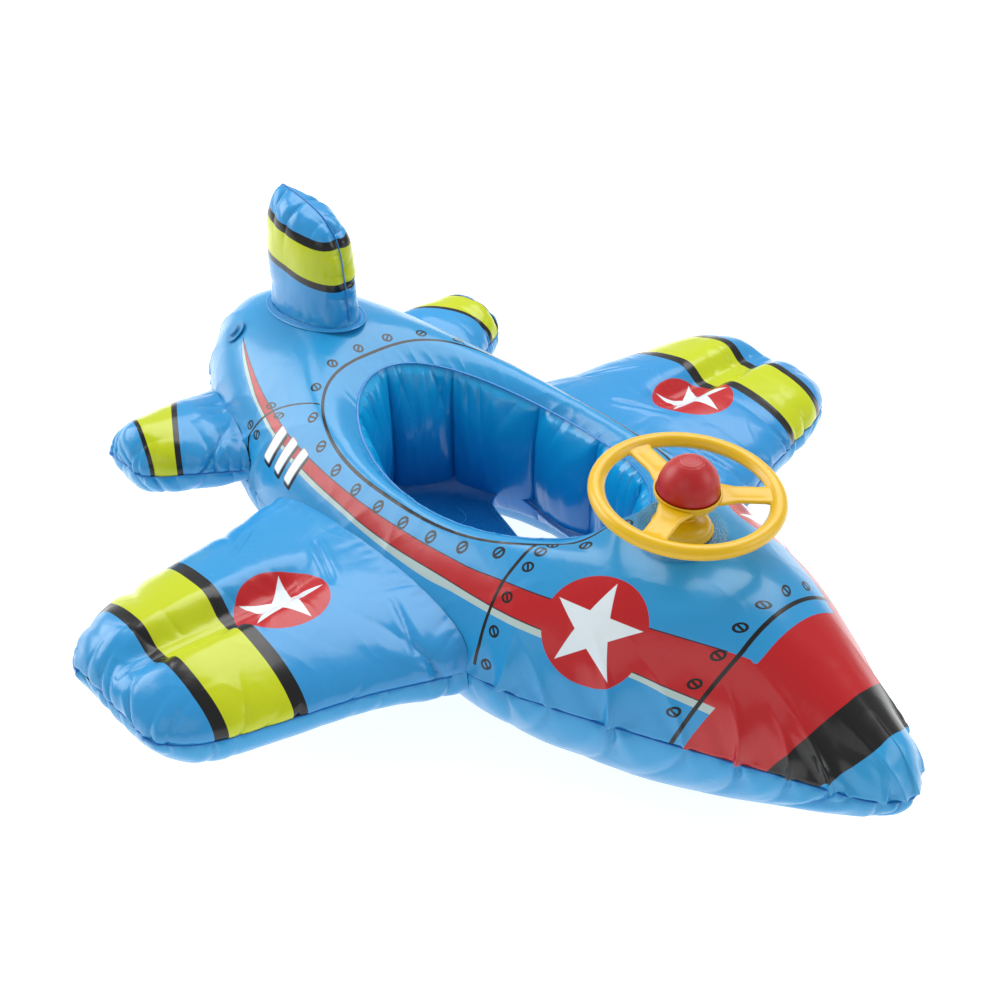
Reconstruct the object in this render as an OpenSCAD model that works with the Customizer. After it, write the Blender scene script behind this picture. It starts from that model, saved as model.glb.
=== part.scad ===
// Inflatable toy airplane float with a turning wheel and a squeaky horn.
// Millimetres. +X is the nose, +Y is the airplane's left, +Z is up, z = 0 is the ground.

/* [Hull] */
// Length of the inflated airplane, tail to nose
hull_length = 845; // [760:5:930]
// Half width of the hull at its widest
hull_half_width = 158; // [140:1:175]
// Height of the seam between the top and bottom panels
seam_height = 91; // [80:1:100]
// Rise of the top panel above the seam
top_rise = 108; // [90:1:120]
// How much higher the seam runs at the tail
tail_lift = 31; // [0:1:40]
// Thickness of the vinyl film
film = 0.4; // [0.3:0.05:0.8]

/* [Cockpit] */
// Half length of the cockpit opening
cockpit_half_length = 160; // [140:1:170]
// Half width of the cockpit opening
cockpit_half_width = 93; // [86:1:97]
// How far the middle of the cockpit lies behind the middle of the airplane
cockpit_back = 26; // [15:1:35]
// Height of the seat sling
seat_height = 46; // [36:1:56]
// Radius of a leg hole at its wide front end
leg_front_radius = 27; // [20:1:32]
// Radius of a leg hole at its narrow rear end
leg_rear_radius = 12; // [8:1:16]

/* [Wings] */
// Span from wing tip to wing tip
span = 768; // [700:2:840]
// Rise of the wing's top panel above its seam
wing_rise = 41; // [34:1:48]
// Drop of the wing's bottom panel below its seam
wing_drop = 50; // [40:1:54]
// Depth of the groove over the wing's inner web
wing_groove = 17; // [0:1:24]
// Span of the tailplane
tail_span = 434; // [416:2:460]
// Rise of the tailplane's top panel above its seam
tail_rise = 33; // [24:1:38]

/* [Fin] */
// Height of the fin's tip above the ground
fin_top = 316; // [300:1:335]
// How much lower the fin's top is at the front
fin_slant = 20; // [0:1:30]
// Length of the fin from front to rear
fin_chord = 112; // [104:1:124]
// Half of the fin's thickness
fin_half_thick = 29; // [22:1:36]

/* [Steering] */
// Outer diameter of the steering wheel
wheel_diameter = 151; // [140:1:160]
// Diameter of the wheel's round rim
rim_diameter = 12.4; // [10:0.2:14]
// Number of spokes
spokes = 3; // [3:1:4]
// Width of a spoke
spoke_width = 19; // [14:1:22]
// Diameter of the horn bulb
bulb_diameter = 48; // [40:1:50]
// Forward tilt of the wheel, in degrees
wheel_tilt = 4.5; // [0:0.5:8]
// Turn of the spokes at rest, in degrees
wheel_clock = 50; // [0:1:120]
// Radial play of the hub on its spigot
hub_play = 0.08; // [0.03:0.01:0.1]

/* [Valves] */
// Radius of a valve's bore
valve_bore = 3.5; // [3:0.1:4]
// Radius of a valve's flange
valve_flange = 12; // [10:0.5:13]

/* [Hidden] */

vinyl_blue = [0.16, 0.55, 0.86];
cockpit_blue = [0.05, 0.32, 0.66];
lime = [0.74, 0.83, 0.05];
wheel_yellow = [0.96, 0.76, 0.03];
horn_red = [0.82, 0.12, 0.12];
clear_vinyl = [0.85, 0.90, 0.92];
steel = [0.75, 0.76, 0.78];

round_steps = 96;
hull_around = 72;     // points round the hull's outline
hull_rings = 10;      // rings from the cockpit to the outline
fit_gap = 0.25;       // clearance between curved panels that are welded together

// ---- Shared maths ----
function mix(a, b, t) = a + (b - a) * t;
function clamp01(t) = max(0, min(1, t));
function super_round(t, power, root) = pow(max(0, 1 - pow(abs(t), power)), 1 / root);
function soft_min(a, b, width) = (a + b - sqrt((a - b) * (a - b) + width * width)) / 2;
function smooth(t) = clamp01(t) * clamp01(t) * (3 - 2 * clamp01(t));

// Faces of a grid of points, as triangles. A closed grid joins its last column to its first.
// From row turn on, each cell is cut along its other diagonal.
function grid_faces(rows, columns, first, closed, flip, turn = 10000) = [
    for (r = [0 : rows - 2], c = [0 : columns - (closed ? 1 : 2)])
        let (
            here = first + r * columns + c,
            next = first + r * columns + (c + 1) % columns,
            up = here + columns,
            up_next = next + columns
        )
        for (t = r < turn ? [[here, up_next, up], [here, next, up_next]] : [[here, next, up], [next, up_next, up]])
            flip ? [t[0], t[2], t[1]] : t
];

// A closed skin of film between an outer and an inner grid of the same size, joined along all four edges.
module skin(outer, inner) {
    rows = len(outer);
    columns = len(outer[0]);
    count = rows * columns;
    loop = concat(
        [for (c = [0 : columns - 1]) c],
        [for (r = [1 : rows - 1]) r * columns + columns - 1],
        [for (c = [columns - 2 : -1 : 0]) (rows - 1) * columns + c],
        [for (r = [rows - 2 : -1 : 1]) r * columns]);
    rim = [
        for (i = [0 : len(loop) - 1])
            let (a = loop[i], b = loop[(i + 1) % len(loop)])
            each [[a, b + count, b], [a, a + count, b + count]]
    ];
    polyhedron(
        points = concat([for (row = outer) each row], [for (row = inner) each row]),
        faces = concat(
            grid_faces(rows, columns, 0, false, false),
            grid_faces(rows, columns, count, false, true),
            rim));
}

// A closed band: each ring is a closed loop of points, and the last ring joins the first.
// The rings from turn on go back along the inside, cut to match the outside.
module band(rings, flip = false, turn = 10000) {
    columns = len(rings[0]);
    polyhedron(
        points = [for (ring = rings) each ring, each rings[0]],
        faces = grid_faces(len(rings) + 1, columns, 0, true, flip, turn));
}

// ---- Hull shape ----
nose_x = hull_length / 2;
tail_x = -hull_length / 2;
mid_x = -hull_length * 0.02;          // the widest station
tail_run = mid_x - tail_x;
nose_slope = 0.478;                   // how fast the nose narrows
nose_tip_half = 21;                   // half width at which the nose is rounded off
nose_round = 24;
shoulder = 20;                        // how softly the sides turn into the nose
deck_share = 1.2;                     // height of the nose above its seam, as a share of its half width
belly_share = 0.99;
belly_press = 9;                      // how much of the belly the ground flattens
belly_power = 2.4;

function tail_part(x) = min(0, x - mid_x) / tail_run;
function tail_round(x) = super_round(tail_part(x), 5, 2);
function nose_cap(x) = super_round(max(0, x - (nose_x - nose_round)) / nose_round, 2, 2);
function nose_line(x) = nose_tip_half + nose_slope * (nose_x - x);
function half_width(x) = max(0.01,
    soft_min(hull_half_width, nose_line(x), shoulder) * super_round(tail_part(x), 2, 2) * nose_cap(x));
function seam_z(x) = seam_height + tail_lift * pow(tail_part(x), 2);
function rise(x) =
    soft_min(top_rise, deck_share * nose_line(x), shoulder) * tail_round(x) * nose_cap(x);
function depth(x) =
    soft_min(seam_height + belly_press, belly_share * nose_line(x), shoulder) * tail_round(x) * nose_cap(x);
function across(x, y, power) = super_round(min(1, abs(y) / half_width(x)), power, 2);
function deck_z(x, y) = seam_z(x) + rise(x) * across(x, y, 2);
function belly_z(x, y) = max(0, seam_z(x) - depth(x) * across(x, y, belly_power));
function side_y(x, z) =
    let (up = z - seam_z(x))
    half_width(x) * (up > 0
        ? super_round(min(1, up / rise(x)), 2, 2)
        : super_round(min(1, -up / depth(x)), 2, belly_power));
function deck_slope_x(x, y) = (deck_z(x + 1, y) - deck_z(x - 1, y)) / 2;
function deck_slope_y(x, y) = (deck_z(x, y + 1) - deck_z(x, y - 1)) / 2;

// ---- Hull panels ----
rim_roll = 22;         // how far the deck rolls down into the cockpit
deck_roll_share = 0.34;
front_roll_share = 0.06; // the roll ends sooner in front, where the wheel stands
belly_roll_share = 0.17;

cockpit_x = -cockpit_back;
function ring_share(r) = r == 0 ? 0 : r == 1 ? front_roll_share : sin(90 * (r - 1) / (hull_rings - 1));
function cockpit_point(a, inset = 0) =
    [cockpit_x + (cockpit_half_length - inset) * cos(a), (cockpit_half_width - inset) * sin(a)];
function outline_point(a) =
    let (x = nose_x * cos(a))
    [x, abs(sin(a)) < 0.001 ? 0 : sign(sin(a)) * half_width(x)];
function plan_point(a, share) = mix(cockpit_point(a), outline_point(a), share);
function deck_reach(a) = mix(deck_roll_share, front_roll_share, smooth((cos(a) - 0.75) / 0.25));
function roll(share, reach) = rim_roll * pow(clamp01(1 - share / reach), 2);
function angle_at(c) = 360 * c / hull_around;

// Points of one half of the hull. side is 1 for the top panel and -1 for the bottom panel.
function hull_point(a, r, side, inward) =
    let (
        share = ring_share(r),
        p = plan_point(a, share),
        edge = r == hull_rings,
        q = edge ? p * (1 - inward / max(norm(p), 1)) : p,
        z = side > 0
            ? deck_z(q[0], q[1]) - roll(share, deck_reach(a))
            : belly_z(q[0], q[1]) + roll(share, belly_roll_share)
    )
    [q[0], q[1], edge ? seam_z(p[0]) : z - side * inward];
function hull_ring(r, side, inward) =
    [for (c = [0 : hull_around - 1]) hull_point(angle_at(c), r, side, inward)];
function hull_section_rings(side) = concat(
    [for (r = [0 : hull_rings]) hull_ring(r, side, 0)],
    [for (r = [hull_rings : -1 : 0]) hull_ring(r, side, film)]);

module hull_top_panel() {
    color(vinyl_blue) band(hull_section_rings(1), false, hull_rings + 1);
}

module hull_bottom_panel() {
    color(vinyl_blue) band(hull_section_rings(-1), true, hull_rings + 1);
}

// ---- Cockpit ----
function wall_ring(side, inset) = [
    for (c = [0 : hull_around - 1])
        let (a = angle_at(c), p = cockpit_point(a, inset), edge = hull_point(a, 0, side, 0))
        [p[0], p[1], edge[2]]
];

module cockpit_wall() {
    color(cockpit_blue)
        band([wall_ring(1, 0), wall_ring(1, film), wall_ring(-1, film), wall_ring(-1, 0)], true);
}

tie_web_count = 10;
tie_web_width = 34;
tie_web_low = 62;
tie_web_high = 128;

module cockpit_tie_webs() {
    color(clear_vinyl)
        for (i = [0 : tie_web_count - 1])
            let (
                c = floor((i + 0.5) * hull_around / tie_web_count),
                p = cockpit_point(angle_at(c)),
                out = atan2(p[1] * pow(cockpit_half_length / cockpit_half_width, 2), p[0] - cockpit_x)
            )
            translate([p[0], p[1], tie_web_low])
                rotate([0, 0, out])
                    translate([fit_gap, -film / 2, 0])
                        cube([tie_web_width, film, tie_web_high - tie_web_low]);
}

leg_rear = [-92, 66];
leg_front = [42, 45];
leg_rim = 8;            // least width of sling left between a leg hole and the wall
sling_edge = film + fit_gap;

function sling_outline(inset) = [for (c = [0 : hull_around - 1]) cockpit_point(angle_at(c), inset)];

// A leg hole widens forward, and keeps clear of the wall.
module leg_hole() {
    along = atan2(leg_front[1] - leg_rear[1], leg_front[0] - leg_rear[0]);
    square_to = [-sin(along), cos(along)];
    intersection() {
        union() {
            translate(leg_rear) circle(r = leg_rear_radius, $fn = round_steps);
            translate(leg_front) circle(r = leg_front_radius, $fn = round_steps);
            polygon([
                leg_rear + leg_rear_radius * square_to, leg_front + leg_front_radius * square_to,
                leg_front - leg_front_radius * square_to, leg_rear - leg_rear_radius * square_to]);
        }
        polygon(sling_outline(leg_rim));
    }
}

module seat_sling() {
    color(cockpit_blue)
        translate([0, 0, seat_height])
            linear_extrude(2 * film)
                difference() {
                    polygon(sling_outline(sling_edge));
                    leg_hole();
                    mirror([0, 1]) leg_hole();
                }
}

// ---- Wings and tailplane ----
// A wing is [root trailing x, root leading x, tip trailing x, tip leading x, tip y,
//            rise, drop, root rise, groove, root lift, tip lift].
wing = [-163, 111, -116, 47, span / 2, wing_rise, wing_drop, 45, wing_groove, 0, 8];
tailplane = [-350, -214, -336, -266, tail_span / 2, tail_rise, tail_rise, 26, 0, 21, 21];
chord_steps = 16;
span_steps = 11;
tip_share = 0.74;       // where the tip starts to round off
tip_chord_share = 0.62; // chord left at the very tip
groove_width = 0.09;    // as a share of the chord
groove_start = 0.16;    // as a share of the span

function wing_tip_round(v) = super_round(max(0, v - tip_share) / (1 - tip_share), 2.4, 2);
function wing_seam(w, v) = seam_height + mix(w[9], w[10], smooth(v / 0.4));
function chord_x(w, s, v, inward) =
    let (
        back = mix(w[0], w[2], v),
        front = mix(w[1], w[3], v),
        middle = (back + front) / 2,
        half = (front - back) / 2 * mix(tip_chord_share, 1, wing_tip_round(v)) - inward
    )
    middle - half * cos(180 * s);
function groove_at(w, s, v) =
    w[8] * exp(-pow((s - 0.5) / groove_width, 2)) * smooth((v - groove_start) / 0.22) * wing_tip_round(v);
function panel_rise(w, s, v, side, inward) =
    let (full = mix(w[7], side > 0 ? w[5] : w[6], smooth(v / 0.35)))
    max(0, (full * pow(sin(180 * s), 0.85) - groove_at(w, s, v)) * wing_tip_round(v) - inward);
function wing_point(w, s, v, side, inward) =
    let (
        x = chord_x(w, s, v, inward),
        up = panel_rise(w, s, v, side, s == 0 || s == 1 || v == 1 ? 0 : inward),
        z = wing_seam(w, v) + side * up,
        root = side_y(x, z) + fit_gap,
        y = mix(root, w[4] - inward, v)
    )
    [x, y, z];
function wing_grid(w, side, inward) = [
    for (j = [0 : span_steps])
        [for (i = [0 : chord_steps])
            let (s = side > 0 ? 1 - i / chord_steps : i / chord_steps)
            wing_point(w, s, sin(90 * j / span_steps), side, inward)]
];

module wing_panel(w, side) {
    skin(wing_grid(w, side, 0), wing_grid(w, side, film));
}

web_start = 205;
web_end = 322;
web_half_height = 22;
web_turn = 3;

module wing_web() {
    color(clear_vinyl)
        translate([chord_x(wing, 0.5, 0.5, 0), web_start, seam_height - web_half_height])
            rotate([0, 0, web_turn])
                cube([film, web_end - web_start, 2 * web_half_height]);
}

// The right side of the airplane is the mirror image of the left.
module right_side() {
    mirror([0, 1, 0]) children();
}

module left_wing_top_panel() {
    color(vinyl_blue) wing_panel(wing, 1);
}

module left_wing_bottom_panel() {
    color(vinyl_blue) wing_panel(wing, -1);
}

module left_tailplane_top_panel() {
    color(lime) wing_panel(tailplane, 1);
}

module left_tailplane_bottom_panel() {
    color(vinyl_blue) wing_panel(tailplane, -1);
}

// ---- Fin ----
fin_rear_x = -347;
fin_front_x = fin_rear_x + fin_chord;
fin_steps = 10;
fin_up_steps = 9;
fin_foot = 0.8;         // thickness of the weld strip that the fin stands on
fin_top_chord_share = 0.66;
fin_rear_rake = 4;
fin_front_rake = 10;

function fin_cap(v) = super_round(max(0, v - 0.5) / 0.5, 3, 2);
function fin_x(s, v, inward) =
    let (
        back = mix(fin_rear_x, fin_rear_x + fin_rear_rake, v),
        front = mix(fin_front_x, fin_front_x - fin_front_rake, v),
        middle = (back + front) / 2,
        half = (front - back) / 2 * mix(fin_top_chord_share, 1, fin_cap(v)) - inward
    )
    middle - half * cos(180 * s);
function fin_y(s, v, inward) =
    s == 0 || s == 1 || v == 1 ? 0 : max(0, fin_half_thick * pow(sin(180 * s), 0.8) * fin_cap(v) - inward);
function fin_point(s, v, inward) =
    let (
        x = fin_x(s, v, inward),
        y = fin_y(s, v, inward),
        foot = deck_z(x, y) + fin_foot + fit_gap,
        top = fin_top - fin_slant * s * s - inward
    )
    [x, y, mix(foot, top, v)];
function fin_grid(inward) = [
    for (j = [0 : fin_up_steps])
        [for (i = [0 : fin_steps]) fin_point(i / fin_steps, j / fin_up_steps, inward)]
];

module fin_left_panel() {
    color(vinyl_blue) skin(fin_grid(0), fin_grid(film));
}

module fin_right_panel() {
    right_side() fin_left_panel();
}

strip_width = 9;
strip_around = 40;
function strip_ring(grow, lift) = [
    for (c = [0 : strip_around - 1])
        let (
            a = 360 * c / strip_around,
            x = (fin_rear_x + fin_front_x) / 2 + (fin_chord / 2 + grow) * cos(a),
            y = (fin_half_thick + grow) * sin(a)
        )
        [x, y, deck_z(x, y) + lift]
];

module fin_weld_strip() {
    color(vinyl_blue)
        band([
            strip_ring(-strip_width / 2, fit_gap), strip_ring(strip_width, fit_gap),
            strip_ring(strip_width, fin_foot), strip_ring(-strip_width / 2, fin_foot)], true);
}

// ---- Steering wheel, on its own tilted axis ----
wheel_x = 187;
pad_radius = 37;
pad_height = 3;
pad_hole = 12;
base_radius = 24.5;
base_lip = 2;
base_height = 14;
base_wall = 2;
spigot_radius = 6;
wheel_plane = 36;
cup_floor = 32.5;
cup_floor_thick = 3;
cup_top = 40;
cup_wall = 2;
bulb_radius = bulb_diameter / 2;
bulb_wall = 1.8;
bulb_gap = 0.35;
bulb_foot = 38.2;
bulb_centre = 41;
bulb_peak = 3;
rim_radius = rim_diameter / 2;
rim_centre = wheel_diameter / 2 - rim_radius;
cup_radius = bulb_radius + bulb_gap + cup_wall;
screw_radius = 1.6;
screw_bite = 0.05;       // clearance of the screw's thread in the spigot's bore
washer_radius = 10;
washer_thick = 1;
spigot_top = cup_floor + cup_floor_thick + 0.15;

module on_wheel_axis() {
    translate([wheel_x, 0, deck_z(wheel_x, 0)])
        rotate([0, wheel_tilt, 0])
            children();
}

pad_rings = [pad_hole, 27, 29, 31, 33, 35, pad_radius];
pad_rib = 0.9;
pad_steps = 32;
function pad_top(i) = pad_height - (i % 2 == 0 ? 0 : pad_rib);
function pad_under(x, y) =
    let (wx = wheel_x + x * cos(wheel_tilt), drop = deck_z(wx, y) - deck_z(wheel_x, 0))
    drop / cos(wheel_tilt) + x * tan(wheel_tilt) + fit_gap;
function pad_loop(radius, lifted, top) = [
    for (c = [0 : pad_steps - 1])
        let (a = 360 * c / pad_steps, x = radius * cos(a), y = radius * sin(a))
        [x, y, lifted ? top : pad_under(x, y)]
];

module wheel_pad() {
    color(clear_vinyl)
        on_wheel_axis()
            band(concat(
                [for (i = [len(pad_rings) - 1 : -1 : 0]) pad_loop(pad_rings[i], false, 0)],
                [for (i = [0 : len(pad_rings) - 1]) pad_loop(pad_rings[i], true, pad_top(i))]));
}

backing_radius = 22;
backing_drop = 8;
backing_thick = 2;

module wheel_pad_backing_ring() {
    color(wheel_yellow)
        on_wheel_axis()
            translate([0, 0, -backing_drop])
                rotate_extrude($fn = round_steps)
                    translate([pad_hole - 1, 0])
                        square([backing_radius - pad_hole + 1, backing_thick]);
}

// The base is a dome on a short lip, with a spigot that carries the wheel's hub.
base_top = pad_height + base_height;
base_arc_steps = 8;
base_shoulder = 9.5;
base_arc_rise = base_height - base_lip - 3;
base_arc = [
    for (i = [0 : base_arc_steps])
        let (a = 90 * i / base_arc_steps)
        [base_radius - 2 - 11.5 * (1 - cos(a)), pad_height + base_lip + base_arc_rise * sin(a)]
];

module wheel_base() {
    color(wheel_yellow)
        on_wheel_axis()
            difference() {
                rotate_extrude($fn = round_steps)
                    polygon(concat(
                        [[0, pad_height], [base_radius, pad_height], [base_radius, pad_height + base_lip]],
                        base_arc,
                        [[base_shoulder, base_top - 2], [spigot_radius, base_top - 1],
                         [spigot_radius, spigot_top], [0, spigot_top]]));
                translate([0, 0, pad_height - 1])
                    cylinder(
                        r1 = base_radius - 4, r2 = spigot_radius,
                        h = base_height - base_wall, $fn = round_steps);
                cylinder(r = screw_radius + screw_bite, h = spigot_top + 1, $fn = round_steps);
            }
}

spoke_thick = 5;
spoke_flare = 1.5;
module spoke() {
    translate([0, 0, wheel_plane - spoke_thick / 2])
        linear_extrude(spoke_thick)
            polygon([
                [cup_radius - 3, -spoke_width / 2 - spoke_flare],
                [rim_centre, -spoke_width / 2 + spoke_flare],
                [rim_centre, spoke_width / 2 - spoke_flare],
                [cup_radius - 3, spoke_width / 2 + spoke_flare]]);
}

hub_foot = base_top + 0.4;
hub_foot_radius = 8.6;
hub_flare = 2;
rim_steps = 40;

module steering_wheel() {
    color(wheel_yellow)
        on_wheel_axis()
            rotate([0, 0, wheel_clock])
                difference() {
                    union() {
                        rotate_extrude($fn = round_steps)
                            polygon([
                                [0, hub_foot], [hub_foot_radius, hub_foot],
                                [hub_foot_radius + hub_flare, cup_floor - 7],
                                [cup_radius - 5, cup_floor - 2], [cup_radius - 1, cup_floor + 2],
                                [cup_radius, cup_top], [0, cup_top]]);
                        for (i = [0 : spokes - 1])
                            rotate([0, 0, 360 * i / spokes]) spoke();
                        translate([0, 0, wheel_plane])
                            rotate_extrude($fn = round_steps)
                                translate([rim_centre, 0]) circle(r = rim_radius, $fn = rim_steps);
                    }
                    translate([0, 0, cup_floor + cup_floor_thick])
                        cylinder(r = bulb_radius + bulb_gap, h = cup_top, $fn = round_steps);
                    cylinder(r = spigot_radius + hub_play, h = cup_top, $fn = round_steps);
                }
}

screw_play = 0.3;

module wheel_washer() {
    color(steel)
        on_wheel_axis()
            translate([0, 0, spigot_top])
                difference() {
                    cylinder(r = washer_radius, h = washer_thick, $fn = round_steps);
                    translate([0, 0, -1])
                        cylinder(r = screw_radius + screw_play, h = washer_thick + 2, $fn = round_steps);
                }
}

screw_head_radius = 4;
screw_head_height = 1.6;
screw_length = 14;
slot_length = 4.4;
slot_width = 0.8;
slot_depth = 0.8;

module wheel_screw() {
    color(steel)
        on_wheel_axis()
            translate([0, 0, spigot_top + washer_thick])
                difference() {
                    union() {
                        cylinder(r = screw_head_radius, h = screw_head_height, $fn = round_steps);
                        translate([0, 0, -screw_length])
                            cylinder(
                                r = screw_radius,
                                h = screw_length + screw_head_height / 2, $fn = round_steps);
                    }
                    for (turn = [0, 90])
                        rotate([0, 0, turn])
                            translate([-slot_length / 2, -slot_width / 2, screw_head_height - slot_depth])
                                cube([slot_length, slot_width, slot_depth + 1]);
                }
}

// The bulb's outline from its foot to its peak.
bulb_arc_steps = 14;
function bulb_profile(radius, peak) = [
    for (i = [0 : bulb_arc_steps])
        let (a = 90 * i / bulb_arc_steps)
        [radius * cos(a), bulb_centre + radius * sin(a) + peak * pow(sin(a), 12)]
];

module horn_bulb() {
    color(horn_red)
        on_wheel_axis()
            rotate_extrude($fn = round_steps)
                polygon(concat(
                    [[bulb_radius, bulb_foot]],
                    bulb_profile(bulb_radius, bulb_peak),
                    [for (p = [bulb_arc_steps : -1 : 0]) bulb_profile(bulb_radius - bulb_wall, bulb_peak)[p]],
                    [[bulb_radius - bulb_wall, bulb_foot]]));
}

reed_height = 46;
reed_thick = 3;
reed_hole = 3;
reed_play = 0.05;

module horn_reed() {
    bore = bulb_radius - bulb_wall;
    reed_radius = sqrt(pow(bore, 2) - pow(reed_height + reed_thick - bulb_centre, 2)) - reed_play;
    color(clear_vinyl)
        on_wheel_axis()
            translate([0, 0, reed_height])
                difference() {
                    cylinder(r = reed_radius, h = reed_thick, $fn = round_steps);
                    translate([0, 0, -1])
                        cylinder(r = reed_hole, h = reed_thick + 2, $fn = round_steps);
                }
}

// ---- Valves: a flanged stem pushed into the chamber, a flap inside it, and a plug in its mouth ----
valve_wall = 1.6;
valve_flange_thick = 1;
valve_mouth = 1.4;      // height of the stem's mouth above its flange
valve_sink = 0.9;       // lifts the flange clear of the curved panel
plug_play = 0.05;
plug_reach = 2;         // how deep the plug sits in the stem
plug_head_radius = 6.2;
plug_head_thick = 1.6;
flap_thick = 0.4;
flap_overlap = 0.8;
hull_valve = [-338, -62];
wing_valve = [-60, 235];

module hull_valve_place() {
    x = hull_valve[0];
    y = hull_valve[1];
    translate([x, y, deck_z(x, y)])
        rotate([0, 0, atan2(-deck_slope_y(x, y), -deck_slope_x(x, y))])
            rotate([0, atan(norm([deck_slope_x(x, y), deck_slope_y(x, y)])), 0])
                translate([0, 0, valve_sink])
                    children();
}

module wing_valve_place() {
    translate([wing_valve[0], wing_valve[1], wing_seam(wing, 1) - wing_drop - valve_sink])
        rotate([180, 0, 0])
            children();
}

module valve_body() {
    color(clear_vinyl)
        difference() {
            union() {
                cylinder(r = valve_flange, h = valve_flange_thick, $fn = round_steps);
                cylinder(
                    r = valve_bore + valve_wall,
                    h = valve_flange_thick + valve_mouth, $fn = round_steps);
            }
            translate([0, 0, -1])
                cylinder(r = valve_bore, h = valve_flange_thick + valve_mouth + 2, $fn = round_steps);
        }
}

module valve_flap() {
    color(clear_vinyl)
        translate([0, 0, -flap_thick])
            cylinder(r = valve_bore + flap_overlap, h = flap_thick, $fn = round_steps);
}

module valve_plug() {
    color(clear_vinyl)
        translate([0, 0, valve_flange_thick + valve_mouth]) {
            cylinder(r = plug_head_radius, h = plug_head_thick, $fn = round_steps);
            translate([0, 0, -plug_reach])
                cylinder(
                    r = valve_bore - plug_play,
                    h = plug_reach + plug_head_thick / 2, $fn = round_steps);
        }
}

module hull_valve_body() { hull_valve_place() valve_body(); }
module hull_valve_flap() { hull_valve_place() valve_flap(); }
module hull_valve_plug() { hull_valve_place() valve_plug(); }
module left_wing_valve_body() { wing_valve_place() valve_body(); }
module left_wing_valve_flap() { wing_valve_place() valve_flap(); }
module left_wing_valve_plug() { wing_valve_place() valve_plug(); }

hull_top_panel();
hull_bottom_panel();
cockpit_wall();
cockpit_tie_webs();
seat_sling();
left_wing_top_panel();
left_wing_bottom_panel();
wing_web();  // left_wing_web
right_side() left_wing_top_panel();  // right_wing_top_panel
right_side() left_wing_bottom_panel();  // right_wing_bottom_panel
right_side() wing_web();  // right_wing_web
left_tailplane_top_panel();
left_tailplane_bottom_panel();
right_side() left_tailplane_top_panel();  // right_tailplane_top_panel
right_side() left_tailplane_bottom_panel();  // right_tailplane_bottom_panel
fin_left_panel();
fin_right_panel();
fin_weld_strip();
wheel_pad();
wheel_pad_backing_ring();
wheel_base();
steering_wheel();
wheel_washer();
wheel_screw();
horn_reed();
horn_bulb();
hull_valve_body();
hull_valve_flap();
hull_valve_plug();
left_wing_valve_body();
left_wing_valve_flap();
left_wing_valve_plug();
right_side() left_wing_valve_body();  // right_wing_valve_body
right_side() left_wing_valve_flap();  // right_wing_valve_flap
right_side() left_wing_valve_plug();  // right_wing_valve_plug
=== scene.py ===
# %% [markdown]
# # An inflatable toy airplane
#
# The airplane is a child's float made of thin vinyl film. Flat sheets are welded along their edges and
# pumped up, so every visible shape is a curved skin that is pulled in at its seams. The scene takes the packed
# CAD model as its frame, puts a detailed skin in place of each plain one, and gives every piece a finish.

# %% Load the frame
import math

import bmesh
import bpy
import numpy as np
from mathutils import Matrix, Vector
from mathutils.geometry import delaunay_2d_cdt


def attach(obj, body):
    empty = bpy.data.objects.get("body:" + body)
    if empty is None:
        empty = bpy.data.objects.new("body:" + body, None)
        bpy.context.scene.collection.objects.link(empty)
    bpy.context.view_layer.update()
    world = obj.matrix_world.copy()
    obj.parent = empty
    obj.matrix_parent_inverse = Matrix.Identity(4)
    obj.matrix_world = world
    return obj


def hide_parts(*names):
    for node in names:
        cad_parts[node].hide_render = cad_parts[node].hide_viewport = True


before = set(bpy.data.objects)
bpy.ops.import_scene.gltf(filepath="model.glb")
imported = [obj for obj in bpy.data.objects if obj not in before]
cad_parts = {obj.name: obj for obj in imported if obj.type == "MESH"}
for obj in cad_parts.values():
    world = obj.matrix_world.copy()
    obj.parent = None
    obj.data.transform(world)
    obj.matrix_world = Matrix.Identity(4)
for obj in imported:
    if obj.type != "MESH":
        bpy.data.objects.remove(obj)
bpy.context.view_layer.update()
MM = 0.001
FULL_TURN = 2 * math.pi

# %% [markdown]
# ## Camera, floor and light
#
# The camera is set before anything else is made. It looks at a point inside the hull from the front right and
# above. The floor is plain and pale. Glossy film shows the lamps as bright patches, so the lamps are large and
# soft: one wide panel overhead and behind, one on each side, a weak fill in front, and a pale world. The floor
# glows a little, so that it stays white under the toy.

# %% Camera
AZIMUTH, ELEVATION = math.radians(48.657), math.radians(34.546)
CAMERA_DISTANCE = 1.4006
CAMERA_TARGET = Vector((-0.0575, 0.030, 0.0856))
toward = Vector(
    (-math.sin(AZIMUTH) * math.cos(ELEVATION), math.cos(AZIMUTH) * math.cos(ELEVATION), -math.sin(ELEVATION))
)
camera = bpy.data.objects.new("camera", bpy.data.cameras.new("camera"))
camera.data.lens = 54.96
camera.data.sensor_width = 36
camera.location = CAMERA_TARGET - toward * CAMERA_DISTANCE
camera.rotation_euler = toward.to_track_quat("-Z", "Y").to_euler()
bpy.context.scene.collection.objects.link(camera)
bpy.context.scene.camera = camera
bpy.context.scene.view_settings.view_transform = "Standard"


# %% Lamps and floor
def area_lamp(name, place, target, size, power, tint=(1, 1, 1)):
    lamp = bpy.data.objects.new(name, bpy.data.lights.new(name, "AREA"))
    lamp.data.shape = "RECTANGLE"
    lamp.data.size, lamp.data.size_y = size
    lamp.data.energy = power
    lamp.data.color = tint
    lamp.location = place
    lamp.rotation_euler = (Vector(target) - Vector(place)).to_track_quat("-Z", "Y").to_euler()
    bpy.context.scene.collection.objects.link(lamp)
    return lamp


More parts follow.
